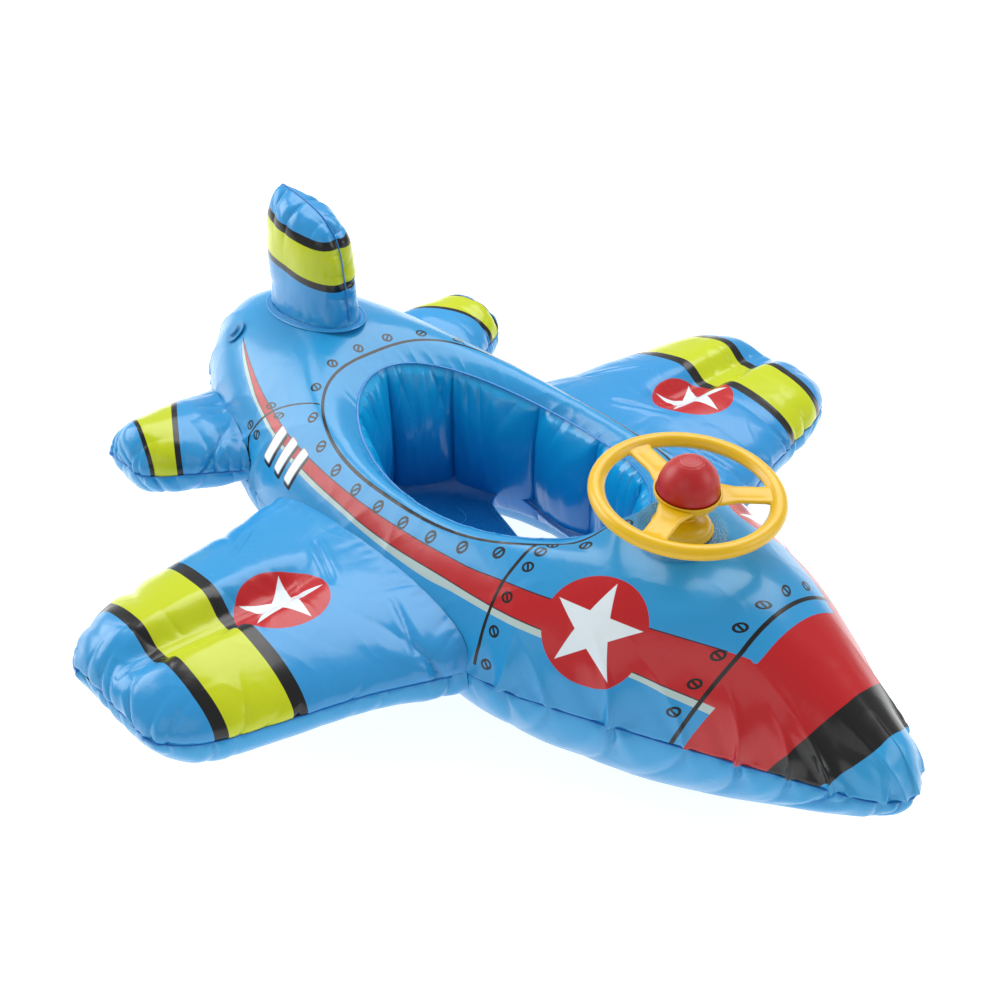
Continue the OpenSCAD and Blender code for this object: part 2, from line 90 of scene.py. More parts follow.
area_lamp("overhead panel", (-0.6, 0.9, 2.0), (0, 0, 0.1), (2.4, 1.6), 44)
area_lamp("left panel", (-1.9, -0.9, 1.3), (0, 0, 0.15), (1.5, 1.5), 30)
area_lamp("right panel", (1.7, 1.3, 1.2), (0, 0, 0.12), (1.2, 1.2), 11)
area_lamp("front fill", (0.8, -2.2, 1.5), (0, 0, 0.1), (2.0, 1.4), 7)

world = bpy.data.worlds.new("pale room")
bpy.context.scene.world = world
world.use_nodes = True
world.node_tree.nodes["Background"].inputs["Color"].default_value = (0.98, 0.99, 1.0, 1)
world.node_tree.nodes["Background"].inputs["Strength"].default_value = 0.5

FLOOR_HALF = 20.0
floor_mesh = bpy.data.meshes.new("floor")
floor_mesh.from_pydata(
    [(x * FLOOR_HALF, y * FLOOR_HALF, -0.0005) for x, y in ((-1, -1), (1, -1), (1, 1), (-1, 1))], [], [(0, 1, 2, 3)]
)
floor_finish = bpy.data.materials.new("pale floor")
floor_finish.use_nodes = True
floor_finish.node_tree.nodes["Principled BSDF"].inputs["Base Color"].default_value = (0.5, 0.5, 0.5, 1)
floor_finish.node_tree.nodes["Principled BSDF"].inputs["Roughness"].default_value = 0.8
floor_finish.node_tree.nodes["Principled BSDF"].inputs["Emission Color"].default_value = (1, 1, 1, 1)
floor_finish.node_tree.nodes["Principled BSDF"].inputs["Emission Strength"].default_value = 0.85
floor_mesh.materials.append(floor_finish)
floor = bpy.data.objects.new("floor", floor_mesh)
bpy.context.scene.collection.objects.link(floor)

# %% [markdown]
# ## Shader maths as expressions
#
# A printed pattern is a long chain of Math nodes. Written as Python expressions it stays readable: `Value`
# wraps a socket, its operators add Math nodes, and `ask` adds any other node.


# %% Value class
class Value:
    """A socket of a material, with Python operators that add Math nodes."""

    def __init__(self, tree, socket):
        self.tree, self.socket = tree, socket

    def ask(self, kind, settings=None, out=0, **sockets):
        """Adds a node, sets its settings, fills its sockets by name or number, and wraps an output."""
        node = self.tree.nodes.new(kind)
        for key, setting in (settings or {}).items():
            if key == "curve":
                fill_curve(node.mapping, setting)
            else:
                setattr(node, key, setting)
        for key, given in sockets.items():
            target = node.inputs[int(key[1:])] if key[0] == "i" and key[1:].isdigit() else node.inputs[key]
            if isinstance(given, Value):
                self.tree.links.new(given.socket, target)
            else:
                target.default_value = given
        return Value(self.tree, node.outputs[out])

    def math(self, operation, first, second=0.0, third=0.0, clamp=False):
        settings = {"operation": operation, "use_clamp": clamp}
        return self.ask("ShaderNodeMath", settings, i0=first, i1=second, i2=third)

    def __add__(self, other):
        return self.math("ADD", self, other)

    __radd__ = __add__

    def __mul__(self, other):
        return self.math("MULTIPLY", self, other)

    __rmul__ = __mul__

    def __sub__(self, other):
        return self.math("SUBTRACT", self, other)

    def __rsub__(self, other):
        return self.math("SUBTRACT", other, self)

    def __truediv__(self, other):
        return self.math("DIVIDE", self, other)

    def __pow__(self, other):
        return self.math("POWER", self, other)

    def __abs__(self):
        return self.math("ABSOLUTE", self)

    def low(self, other):
        return self.math("MINIMUM", self, other)

    def high(self, other):
        return self.math("MAXIMUM", self, other)

    def over(self, edge, soft=0.0004):
        """1 where this value is above the edge, with a soft step."""
        return self.math("MULTIPLY_ADD", self - edge, 1 / soft, 0.5, clamp=True)

    def between(self, low, high, soft=0.0004):
        return self.over(low, soft) * (1 - self.over(high, soft))

    def split(self):
        return [self.ask("ShaderNodeSeparateXYZ", out=n, Vector=self) for n in range(3)]

    def root(self):
        return self.math("SQRT", self)

    def wave(self, operation="SINE"):
        return self.math(operation, self)

    def fold(self, period):
        """Distance from the nearest multiple of the period, with its sign."""
        return self.math("WRAP", self, period / 2, -period / 2)

    def curve(self, points):
        """A smooth curve through (in, out) points, for inputs and outputs in metres or shares."""
        xs, ys = [p[0] for p in points], [p[1] for p in points]
        low, high, floor_y, top = min(xs), max(xs), min(ys), max(ys)
        scaled = [((x - low) / (high - low), (y - floor_y) / (top - floor_y)) for x, y in points]
        share = self.math("MULTIPLY_ADD", self - low, 1 / (high - low), 0.0, clamp=True)
        raised = self.ask("ShaderNodeFloatCurve", {"curve": scaled}, Value=share)
        return raised * (top - floor_y) + floor_y


def fill_curve(mapping, points):
    line = mapping.curves[0]
    while len(line.points) > 2:
        line.points.remove(line.points[1])
    line.points[0].location, line.points[-1].location = points[0], points[-1]
    for point in points[1:-1]:
        line.points.new(*point)
    mapping.update()


def tint(red, green, blue):
    """A screen colour, 0 to 255, as linear light with full alpha."""
    return tuple((c / 255 / 12.92) if c < 11 else ((c / 255 + 0.055) / 1.055) ** 2.4 for c in (red, green, blue)) + (
        1.0,
    )


def start_material(name):
    """A new material, its Principled shader, and a Value that the rest of the expression starts from."""
    material = bpy.data.materials.new(name)
    material.use_nodes = True
    tree = material.node_tree
    shader = tree.nodes["Principled BSDF"]
    place = Value(tree, tree.nodes.new("ShaderNodeTexCoord").outputs["Object"])
    return material, shader, place


def paint(base, mask, colour):
    """The colour over the base where the mask is 1."""
    return mask.ask("ShaderNodeMix", {"data_type": "RGBA"}, out=2, i0=mask, i6=base, i7=colour)


def noise(place, scale, detail=3.0, roughness=0.55):
    return place.ask("ShaderNodeTexNoise", Vector=place, Scale=scale, Detail=detail, Roughness=roughness)


def bump(height, distance, strength=1.0):
    return height.ask("ShaderNodeBump", Height=height, Distance=distance, Strength=strength)


def stretch(place, x=1.0, y=1.0, z=1.0):
    """The place with each axis scaled, so that a noise on it is drawn out."""
    return place.ask("ShaderNodeMapping", Vector=place, Scale=(x, y, z))


# %% [markdown]
# ## Vinyl film
#
# Printed PVC film is glossy, but not a mirror: it is calendered, so it has a faint orange peel, and where it
# was folded in its box it keeps shallow creases. The colour could be one flat value, but a print varies a
# little in strength, and fingers leave duller patches. So each vinyl mixes a slow noise into the colour and
# the roughness, and adds three sizes of bump. Gloss comes from a low roughness and a coat set on the shader.

# %% Vinyl and plastic finishes
# The third colour is the cockpit wall's top, painted lighter where light falls near the deck.
BLUE, DEEP_BLUE, WALL_BLUE_PAINTED_LIT = tint(42, 147, 202), tint(30, 134, 192), tint(12, 156, 212)
LIME, RED, BLACK = tint(182, 194, 4), tint(176, 18, 24), tint(8, 8, 10)
STAR_PALE, PINSTRIPE, YELLOW = tint(212, 224, 230), tint(170, 190, 186), tint(222, 178, 0)


def finish_vinyl(name, colour, gloss=0.24, coat=0.12, crease=1.0):
    """Glossy film. colour(start) gives its print; for the cockpit wall, a colour with painted light and shade."""
    material, shader, place = start_material(name)
    tree = material.node_tree
    slow, fine = noise(place, 9, 2), noise(place, 900, 2)
    printed = colour(place)
    shade = slow.math("MULTIPLY_ADD", slow, 0.16, 0.92)
    shaded = place.ask("ShaderNodeVectorMath", {"operation": "SCALE"}, i0=printed, i3=shade)
    tree.links.new(shaded.socket, shader.inputs["Base Color"])
    dull = noise(place, 22, 3, 0.5)
    rough = (dull - 0.5).high(0.0) * 0.16 + gloss + fine * 0.02
    tree.links.new(rough.socket, shader.inputs["Roughness"])
    shader.inputs["Coat Weight"].default_value = coat
    shader.inputs["Coat Roughness"].default_value = 0.07
    shader.inputs["Specular IOR Level"].default_value = 0.4
    folds = noise(stretch(place, 1.0, 1.3, 0.8), 15, 2, 0.4)
    ridged = 1 - abs(folds - 0.5) * 16.0
    height = ridged.high(0.0) * (0.00022 * crease) + noise(place, 38, 2) * (0.0004 * crease) + fine * 0.000012
    tree.links.new(bump(height, 1.0).socket, shader.inputs["Normal"])
    return material


def plain(colour):
    """A print of one colour, for finish_vinyl."""
    return lambda place: paint(colour, place.split()[2].over(9.0), colour)


def finish_plastic(name, colour, gloss, grain=0.00004, coat=0.25, alpha=1.0, metal=0.0, swirl=None):
    """Moulded plastic, soft rubber or plated metal: one colour with a faint cast and handling marks."""
    material, shader, place = start_material(name)
    tree = material.node_tree
    cast = noise(place, 45, 3)
    deeper = tuple(c * 0.86 for c in colour[:3]) + (1.0,)
    tree.links.new(paint(colour, cast, deeper).socket, shader.inputs["Base Color"])
    scuffs = noise(stretch(place, 1.0, 3.0, 1.0), 160, 5, 0.7)
    tree.links.new(((scuffs - 0.55).high(0.0) * 0.9 + gloss).socket, shader.inputs["Roughness"])
    shader.inputs["Metallic"].default_value = metal
    shader.inputs["Coat Weight"].default_value = coat
    shader.inputs["Coat Roughness"].default_value = 0.12
    shader.inputs["Alpha"].default_value = alpha
    height = noise(place, 1400, 2) * (grain * 0.06) + noise(place, 70, 2) * grain
    if swirl:
        height = height + swirl(place)
    tree.links.new(bump(height, 1.0).socket, shader.inputs["Normal"])
    return material


print("finishes ready")

# %% [markdown]
# ## The shape of the hull
#
# The hull is two big panels, welded to each other round the outside and to the cockpit's wall inside. Its plan
# is a long oval with a pointed nose. Every station along it has a known half width, seam height, rise and
# depth, so a grid of rings between the cockpit's oval and the outline gives each panel. A modelled base with
# Subdivision Surface would also work, but the same rule that set the size in CAD keeps the skin on the frame.
# Lengths in these functions are in millimetres, and a mesh is scaled to metres when it is made.

# %% Hull functions
NOSE_X, MID_X, TAIL_RUN = 422.5, -16.9, 405.6
COCKPIT_X, COCKPIT_LENGTH, COCKPIT_WIDTH = -26.0, 160.0, 93.0
SEAT_HEIGHT = 46.0
RIM_RADIUS_MEAN = 127  # of the cockpit opening, for distances along its rim
RIM_LENGTH = FULL_TURN * RIM_RADIUS_MEAN


def mix(a, b, t):
    return a + (b - a) * t


def super_round(t, power, root):
    return np.maximum(0, 1 - np.abs(t) ** power) ** (1 / root)


def soft_min(a, b, width):
    return (a + b - np.sqrt((a - b) ** 2 + width**2)) / 2


def smooth(t):
    t = np.clip(t, 0, 1)
    return t * t * (3 - 2 * t)


def stations(x):
    """Half width, seam height, rise and depth of the hull at x."""
    tail = np.minimum(0, x - MID_X) / TAIL_RUN
    tail_round = super_round(tail, 5, 2)
    cap = super_round(np.clip((x - NOSE_X + 24) / 24, 0, 1), 2, 2)
    nose = 21 + 0.478 * (NOSE_X - x)
    half = np.maximum(0.01, soft_min(158, nose, 20) * super_round(tail, 2, 2) * cap)
    rise = soft_min(108, 1.2 * nose, 20) * tail_round * cap
    depth = soft_min(100, 0.99 * nose, 20) * tail_round * cap
    return half, 91 + 31 * tail**2, rise, depth


def deck_z(x, y):
    half, seam, rise, _ = stations(x)
    return seam + rise * super_round(np.minimum(1, np.abs(y) / half), 2, 2)


def belly_z(x, y):
    half, seam, _, depth = stations(x)
    return np.maximum(0, seam - depth * super_round(np.minimum(1, np.abs(y) / half), 2.4, 2))


def side_y(x, z):
    half, seam, rise, depth = stations(x)
    above = super_round(np.minimum(1, np.maximum(0, z - seam) / np.maximum(rise, 0.01)), 2, 2)
    below = super_round(np.minimum(1, np.maximum(0, seam - z) / np.maximum(depth, 0.01)), 2, 2.4)
    return half * np.where(z > seam, above, below)


def cockpit_oval(a, inset=0.0):
    return COCKPIT_X + (COCKPIT_LENGTH - inset) * np.cos(a), (COCKPIT_WIDTH - inset) * np.sin(a)


def outline(a):
    x = NOSE_X * np.cos(a)
    return x, np.sign(np.sin(a)) * stations(x)[0] * (np.abs(np.sin(a)) > 1e-6)


def deck_roll(a, share):
    """How far the deck rolls down towards the cockpit. It ends sooner in front, where the wheel stands."""
    reach = mix(0.34, 0.06, smooth((np.cos(a) - 0.75) / 0.25))
    return 22 * np.clip(1 - share / reach, 0, 1) ** 2


print("hull half width amidships", round(float(stations(np.array(MID_X))[0]), 1), "mm")

# %% [markdown]
# ## Meshes from grids
#
# Film has no thickness that the eye can see, so each panel is a grid of points, row by row. A grid can be
# closed along its rows, and it can carry UV maps: one for the print, laid flat along the film, so that the
# stripes bend with it.


# %% Grid helpers
def grid_faces(rows, columns, closed, flip):
    row, column = np.meshgrid(np.arange(rows - 1), np.arange(columns if closed else columns - 1), indexing="ij")
    here, after = row * columns + column, row * columns + (column + 1) % columns
    quads = np.stack([here, after, after + columns, here + columns], axis=-1).reshape(-1, 4)
    return quads[:, ::-1] if flip else quads


def make_piece(name, points, faces, material, body, maps=None, node=()):
    """A smooth mesh object from points in millimetres, riding on a body."""
    mesh = bpy.data.meshes.new(name)
    loops = faces.tolist() if isinstance(faces, np.ndarray) else [[int(n) for n in face] for face in faces]
    mesh.from_pydata((np.asarray(points).reshape(-1, 3) * MM).tolist(), [], loops)
    mesh.polygons.foreach_set("use_smooth", [True] * len(mesh.polygons))
    corners = np.empty(len(mesh.loops), int)
    mesh.loops.foreach_get("vertex_index", corners)
    for key, values in (maps or {}).items():
        flat = np.asarray(values).reshape(-1, 2)[corners] * MM
        mesh.uv_layers.new(name=key).data.foreach_set("uv", flat.ravel())
    mesh.materials.append(material)
    piece = bpy.data.objects.new(name, mesh)
    bpy.context.scene.collection.objects.link(piece)
    settle(piece, body, node)
    return piece


def settle(piece, body, node=()):
    """Hangs the piece on its body, and hides the CAD nodes that it stands for."""
    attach(piece, body)
    if node:
        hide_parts(*([node] if isinstance(node, str) else node))
    print(piece.name, len(piece.data.polygons), "faces")


def normals(points, closed):
    """Unit normals of a grid, towards the side from which rows and columns turn anticlockwise."""
    along = np.gradient(points, axis=0)
    if closed:
        across = (np.roll(points, -1, axis=1) - np.roll(points, 1, axis=1)) / 2
    else:
        across = np.gradient(points, axis=1)
    found = np.cross(across, along)
    return found / np.maximum(np.linalg.norm(found, axis=-1, keepdims=True), 1e-9)


# %% [markdown]
# ## Puckers, creases and swells
#
# A flat sheet can't bulge into a ball without spare film at its edge. The weld holds the edge short, so the
# spare film stands up in puckers: sharp valleys that start at the seam and fade within a few centimetres,
# with a soft ridge on each side. They are larger where the seam bends more. Cloth simulation makes them too,
# but with little say in where they come. Here each valley has its own place, depth, width, reach and lean
# from a seeded generator, and the few deep ones are listed one by one.


# %% Pucker helpers
def one_pucker(run, away, place, depth, width, reach, lean):
    offset = run - place - lean * away
    spread = width * (1 + 0.05 * away)
    fade = np.exp(-away / reach) * (1 - 0.8 * np.exp(-away / 3.0))
    valley = np.exp(-np.abs(offset) / spread) + 0.4 * np.exp(-((offset / (0.45 * spread)) ** 2))
    ridges = np.exp(-(((np.abs(offset) - 2.8 * spread) / (1.7 * spread)) ** 2))
    return depth * fade * (0.45 * ridges - valley)


def puckers(run, away, length, spacing, depth, reach, seed, stronger=None, deep=()):
    """Height of all the puckers of a seam of the given length, at run along it and away from it."""
    rng = np.random.default_rng(seed)
    total = np.zeros(np.broadcast(run, away).shape)
    place = rng.uniform(0, spacing)
    while place < length:
        force = (stronger(place) if stronger else 1.0) * rng.uniform(0.2, 1.0) ** 2
        shape = (rng.uniform(1.3, 3.4), reach * rng.uniform(0.35, 1.4), rng.normal(0, 0.3))
        total += one_pucker(run, away, place, depth * force, *shape)
        place += spacing * rng.uniform(0.45, 1.6) / (0.6 + 0.4 * (stronger(place) if stronger else 1.0))
    for extra in deep:
        total += one_pucker(run, away, *extra)
    return total


def swell(x, y, size, seed):
    """A smooth random field between about -1 and 1, with bumps of about the given size."""
    rng = np.random.default_rng(seed)
    total = 0
    for _ in range(7):
        turn, phase, wave = rng.uniform(0, math.pi), rng.uniform(0, FULL_TURN), size * rng.uniform(0.6, 1.7)
        total = total + np.sin(FULL_TURN * (x * math.cos(turn) + y * math.sin(turn)) / wave + phase)
    return total / 4


def crease(x, y, start, end, depth, width):
    """A sharp fold along a line in plan, deepest in its middle."""
    start, end = np.array(start, float), np.array(end, float)
    length = np.linalg.norm(end - start)
    along_x, along_y = (end - start) / length
    t = ((x - start[0]) * along_x + (y - start[1]) * along_y) / length
    off = (x - start[0]) * along_y - (y - start[1]) * along_x
    body = np.sqrt(np.clip(1 - (2 * t - 1) ** 2, 0, 1))
    valley = np.exp(-np.abs(off) / width)
    ridge = np.exp(-(((np.abs(off) - 2.6 * width) / (1.6 * width)) ** 2))
    return depth * body * (0.4 * ridge - valley)


# %% [markdown]
# ## Hull panels
#
# The top panel is printed, and the print follows the film: a stripe is a line of equal distance along the
# film from the side seam, not of equal height. So each point's UV holds its station and that distance. A
# second map holds the place along, and the distance outside, the printed outline round the cockpit. The
# two panels end in the same row at the seam, and share its puckers, so that they stay joined.

# %% Hull seam and rings
AROUND, DECK_RINGS, BELLY_RINGS = 1080, 64, 44
turn = np.arange(AROUND) * FULL_TURN / AROUND
edge_x, edge_y = outline(turn)
edge_step = np.hypot(np.roll(edge_x, -1) - edge_x, np.roll(edge_y, -1) - edge_y)
edge_run = np.concatenate([[0], np.cumsum(edge_step)[:-1]])
EDGE_LENGTH = float(edge_step.sum())
edge_out = np.stack([np.roll(edge_y, -1) - np.roll(edge_y, 1), np.roll(edge_x, 1) - np.roll(edge_x, -1)], axis=-1)
edge_out /= np.linalg.norm(edge_out, axis=-1, keepdims=True)
print("side seam", round(EDGE_LENGTH), "mm long")


def run_at(x, side):
    """How far along the seam the station x lies, on the right (-1) or left (1) side."""
    half = slice(0, AROUND // 2) if side > 0 else slice(AROUND // 2, AROUND)
    return float(edge_run[half][np.argmin(np.abs(edge_x[half] - x))])


def seam_strength(place):
    """Puckers are stronger round the nose and the tail, where the outline bends."""
    x = edge_x[int(np.searchsorted(edge_run, place % EDGE_LENGTH)) % AROUND]
    return 1.0 + 0.5 * smooth((x - 330) / 80) + 0.4 * smooth((-x - 300) / 90)


DEEP_PINCHES = [
    (run_at(x, side), depth * 1.35, width * 0.9, reach * 1.15, lean)
    for side in (-1, 1)
    for x, depth, width, reach, lean in (
        (228, 6.5, 3.2, 30, 0.1), (182, 3.0, 2.5, 22, -0.3), (143, 4.2, 2.8, 26, 0.35), (318, 6.0, 2.8, 24, 0.2),
        (283, 3.0, 2.2, 26, -0.2), (352, 4.0, 2.4, 20, 0.15), (381, 6.0, 2.6, 22, -0.1), (411, 2.5, 2.2, 14, 0.3),
        (-250, 4.0, 2.6, 26, 0.2), (-205, 3.6, 3.0, 30, -0.25), (-305, 3.0, 2.8, 22, 0.2), (-382, 2.4, 2.6, 20, 0.1),
    )
]


def hull_panel(side, rings):
    """Points of the top (1) or bottom (-1) panel, from the cockpit's weld to the seam."""
    share = np.sin(np.linspace(0, math.pi / 2, rings))[:, None]
    oval_x, oval_y = cockpit_oval(turn)
    x, y = mix(oval_x, edge_x, share), mix(oval_y, edge_y, share)
    if side > 0:
        z = deck_z(x, y) - deck_roll(turn, share)
    else:
        z = belly_z(x, y) + 22 * np.clip(1 - share / 0.17, 0, 1) ** 2
    z[-1] = stations(edge_x)[1]
    points = np.stack([x, y, z], axis=-1)
    step = np.linalg.norm(np.diff(points, axis=0), axis=-1)
    away = np.concatenate([np.cumsum(step[::-1], axis=0)[::-1], np.zeros((1, AROUND))])
    from_rim = np.concatenate([np.zeros((1, AROUND)), np.cumsum(step, axis=0)])
    out = normals(points, True)
    out[-1] = np.concatenate([edge_out, np.zeros((AROUND, 1))], axis=-1)
    run = edge_run[None, :]
    lift = puckers(run, away, EDGE_LENGTH, 24, 3.6, 22, 11, seam_strength, DEEP_PINCHES)
    held = smooth(away / 30)
    lift = lift - 2.2 * np.exp(-away / 3.5) + held * 0.6 * swell(x, y, 110, 5 + side) * smooth(from_rim / 30)
    rim_run = np.broadcast_to(turn * RIM_RADIUS_MEAN, lift.shape)
    lift = lift + puckers(rim_run, from_rim, RIM_LENGTH, 13, 1.5, 9, 23 + side)
    lift = lift * np.ones_like(x)
    points = points + out * lift[..., None]
    points[..., 2] = np.maximum(points[..., 2], 0.3)
    return points, x, y


deck_points, deck_x, deck_y = hull_panel(1, DECK_RINGS)
belly_points, _, _ = hull_panel(-1, BELLY_RINGS)
print("deck top", round(float(deck_points[..., 2].max()), 1), "mm")


# %% Maps for the hull's print
def film_distance(x, y):
    """Distance along the deck's film from the side seam, across the hull at one station."""
    half, _, rise, _ = stations(x)
    reach = np.arccos(np.clip(np.abs(y) / half, 0, 1))
    total = np.zeros_like(x)
    parts = 24
    for n in range(parts):
        t = reach * (n + 0.5) / parts
        total += np.hypot(half * np.sin(t), rise * np.cos(t)) * reach / parts
    return total


OUTLINE_REAR, OUTLINE_FRONT, OUTLINE_HALF, OUTLINE_X, OUTLINE_POWER = 162.5, 184.0, 113.0, -40.0, 2.5
line_turn = np.linspace(0, FULL_TURN, 900, endpoint=False) - math.pi


def bent(wave):
    return np.sign(wave) * np.abs(wave) ** (2 / OUTLINE_POWER)


line_x = OUTLINE_X + np.where(np.cos(line_turn) > 0, OUTLINE_FRONT, OUTLINE_REAR) * bent(np.cos(line_turn))
line_y = OUTLINE_HALF * bent(np.sin(line_turn))
line_run = np.concatenate([[0], np.cumsum(np.hypot(np.diff(line_x), np.diff(line_y)))])
LINE_LENGTH = float(line_run[-1] + np.hypot(line_x[0] - line_x[-1], line_y[0] - line_y[-1]))


def rim_map(x, y):
    """Place along the printed outline, and distance outside it."""
    flat_x, flat_y = x.ravel(), y.ravel()
    near = np.empty(len(flat_x), int)
    for first in range(0, len(flat_x), 8000):
        part = slice(first, first + 8000)
        gap = (flat_x[part, None] - line_x) ** 2 + (flat_y[part, None] - line_y) ** 2
        near[part] = gap.argmin(axis=1)
    before, after = np.roll(line_x, 1), np.roll(line_x, -1)
    tangent = np.stack([after - before, np.roll(line_y, -1) - np.roll(line_y, 1)], axis=-1)
    tangent /= np.linalg.norm(tangent, axis=-1, keepdims=True)
    dx, dy = flat_x - line_x[near], flat_y - line_y[near]
    along = dx * tangent[near, 0] + dy * tangent[near, 1]
    outside = dx * tangent[near, 1] - dy * tangent[near, 0]
    return np.stack([line_run[near] + along, outside], axis=-1).reshape(*x.shape, 2)


CREST = float(film_distance(np.array(281.0), np.array(0.0)))
print_map = np.stack([deck_x, film_distance(deck_x, deck_y)], axis=-1)
outline_map = rim_map(deck_x, deck_y)
print("printed outline", round(LINE_LENGTH), "mm round")

# %% [markdown]
# ## The hull's print
#
# Screws, stripes, stars and panel lines are printed flat on the film before it is welded. An image texture
# would blur close up, so the print is drawn by the shader from the two maps. Each mark is a mask between 0
# and 1, made of distances to lines and curves in millimetres, and the masks lay one colour over another.

# %% Print helpers
SOFT = 0.35


def printed_screw(dx, dy, turn, size=3.9):
    """A screw head drawn as a thin ring with a slot across it."""
    radius = (dx * dx + dy * dy).root()
    ring = radius.between(size - 0.95, size + 0.95, SOFT)
    slot = 1 - abs(dx * math.sin(turn) + dy * math.cos(turn)).over(0.9, SOFT)
    return ring.high(slot * (1 - radius.over(size, SOFT)))


def line_mask(gap, width):
    return 1 - abs(gap).over(width / 2, SOFT)


def star_mask(dx, dy, size, turn):
    """A five-pointed star with its points at the given distance from the middle."""
    radius = (dx * dx + dy * dy).root()
    angle = dy.math("ARCTAN2", dy, dx) - turn
    folded = abs(angle.fold(FULL_TURN / 5))
    qx, qy = radius * folded.wave("COSINE"), radius * folded.wave("SINE")
    bx, by = 0.382 * size * math.cos(math.pi / 5), 0.382 * size * math.sin(math.pi / 5)
    length = math.hypot(bx - size, by)
    outside = ((qx - size) * by - qy * (bx - size)) / length
    return 1 - outside.over(0.0, SOFT)


def roundel(base, dx, dy, disc, star, turn):
    radius = (dx * dx + dy * dy).root()
    base = paint(base, 1 - radius.over(disc, SOFT), RED)
    return paint(base, star_mask(dx, dy, star, turn), STAR_PALE)


BAND_TOP = [(-320, 86.3), (-284, 83.8), (-248, 79.8), (-207, 76), (-137, 72), (-30, 73), (66, 77.9), (154, 86.3),
            (231, 87), (302, 82.2)]
BAND_LOW = [(-320, 86.1), (-271, 77.5), (-227, 68.6), (-183, 64), (-142, 60.7), (-76, 59.7), (-18, 58.2), (79, 61.6),
            (160, 61.2), (234, 50.8), (276, 44.7), (302, 40.5)]
STRIPE_LOW = [(-320, 85.9), (-295, 77.8), (-260, 70.7), (-221, 63.8), (-178, 59.7), (-137, 55.4), (-72, 55),
              (-14, 52.7), (38, 52.2), (83, 55.6), (162, 55.2), (231, 46.6), (278, 37.9), (302, 33.5)]


# %% Hull print
def panel_rows(x, s):
    """The three seams across the hull, each with its rows of screws."""
    from_seam = (1 - s / 90).high(0.0)
    front = 292 - 21 * from_seam ** 1.4
    marks = line_mask(x - front, 3.2)
    marks = marks.high(printed_screw(x - front + 11, (s - 30).fold((CREST - 30) / 4.5), 0.5) * s.over(20))
    shoulder = (s - 30).math("SMOOTH_MIN", ((s - 30) / 55).high(0.0), 1.0, 0.1)
    middle = 117.5 - 8 * shoulder
    marks = marks.high(line_mask(x - middle, 2.8) * s.over(12))
    marks = marks.high(printed_screw(x - middle - 10, (s - 17).fold(28.5), 0.9) * s.over(8))
    bow = (s - 38) / 75
    rear = 56.7 * bow * bow - 226.5
    low = 1 - s.over(113)
    marks = marks.high(line_mask(x - rear, 2.6) * low)
    row = (s - 20).fold(29)
    for shift, angle in ((8, 0.3), (-9, 1.1)):
        marks = marks.high(printed_screw(x - rear + shift, row, angle) * s.between(8, 90))
    return marks, front


def slanted_bar(base, x, s, middle_x, middle_s, angle=0.16):
    """A plain white bar with a thin outline and a dark shadow."""
    for shift, grow, colour in ((2.6, 1.2, BLACK), (0, 1.2, tint(120, 134, 148)), (0, 0, tint(240, 244, 246))):
        dx, dy = x - (middle_x + shift), s - (middle_s - shift)
        across = abs(dx * math.cos(angle) - dy * math.sin(angle)) - (4.6 - 1.5)
        along = abs(dx * math.sin(angle) + dy * math.cos(angle)) - (17.0 - 1.5)
        corner = (across.high(0.0) ** 2 + along.high(0.0) ** 2).root() + across.high(along).low(0.0)
        base = paint(base, 1 - corner.over(1.5 + grow, SOFT), colour)
    return base


def hull_print(place):
    x, s = [v * 1000 for v in place.ask("ShaderNodeUVMap", {"uv_map": "print"}).split()[:2]]
    run, out = [v * 1000 for v in place.ask("ShaderNodeUVMap", {"uv_map": "outline"}).split()[:2]]
    deck = out.over(0.0)
    top, low, stripe = x.curve(BAND_TOP), x.curve(BAND_LOW), x.curve(STRIPE_LOW)
    rows, front = panel_rows(x, s)
    base = paint(BLUE, noise(place, 3.2, 1), DEEP_BLUE)
    in_band = x.between(-320, 316, 1.0)
    base = paint(base, s.over(stripe) * (1 - s.over(low)) * in_band * (1 - x.between(163, 230)), PINSTRIPE)
    band = s.over(low) * (1 - s.over(top)) * in_band
    base = paint(base, band, RED)
    edge = line_mask(s - top, 1.1).high(line_mask(s - low, 1.0)) * in_band * (1 - x.over(284))
    base = paint(base, edge, tint(60, 22, 40))
    base = paint(base, rows * deck, BLACK)
    nose_back = front + 8.5 + 4.5 * (s / 80).low(1.0)
    base = paint(base, x.over(nose_back).high(band * x.over(front + 3)), RED)
    rise = (s - 74) * 0.93
    base = roundel(base, (x - 194) * 1.07 + rise * 0.27, rise, 42.0, 38.0, math.radians(13))
    ring_back = 363 - 27 * ((1 - s / 75).high(0.0) ** 1.6)
    ring_front = 395 - 24 * ((1 - s / 47).high(0.0) ** 1.6)
    base = paint(base, x.over(ring_back, 0.6), BLACK)
    base = paint(base, x.over(ring_front, 0.6), BLUE)
    step = LINE_LENGTH / 30
    ring_screws = printed_screw((run - 9).fold(step), out - 9, 0.8)
    base = paint(base, line_mask(out, 2.8).high(ring_screws), BLACK)
    for middle in (-186, -167, -148):
        base = slanted_bar(base, x, s, middle, 57.5)
    return base


deck_vinyl = finish_vinyl("printed blue vinyl", hull_print)
belly_vinyl = finish_vinyl("blue vinyl", plain(BLUE))
top_faces = grid_faces(DECK_RINGS, AROUND, True, True)
top_panel = make_piece(
    "hull_top_skin", deck_points, top_faces, deck_vinyl, "airframe",
    {"print": print_map, "outline": outline_map}, "hull_top_panel")
bottom_panel = make_piece(
    "hull_bottom_skin", belly_points, grid_faces(BELLY_RINGS, AROUND, True, False), belly_vinyl, "airframe", {},
    "hull_bottom_panel")

# %% [markdown]
# ## Weld flanges
#
# Where two panels are welded, both films go on a few millimetres past the weld as a thin flat flange. It
# follows the whole seam and waves with the puckers. Anything that follows a path suits Geometry Nodes: a curve
# runs along the seam, and the tree sweeps a flat section along it, with the width and thickness as inputs.


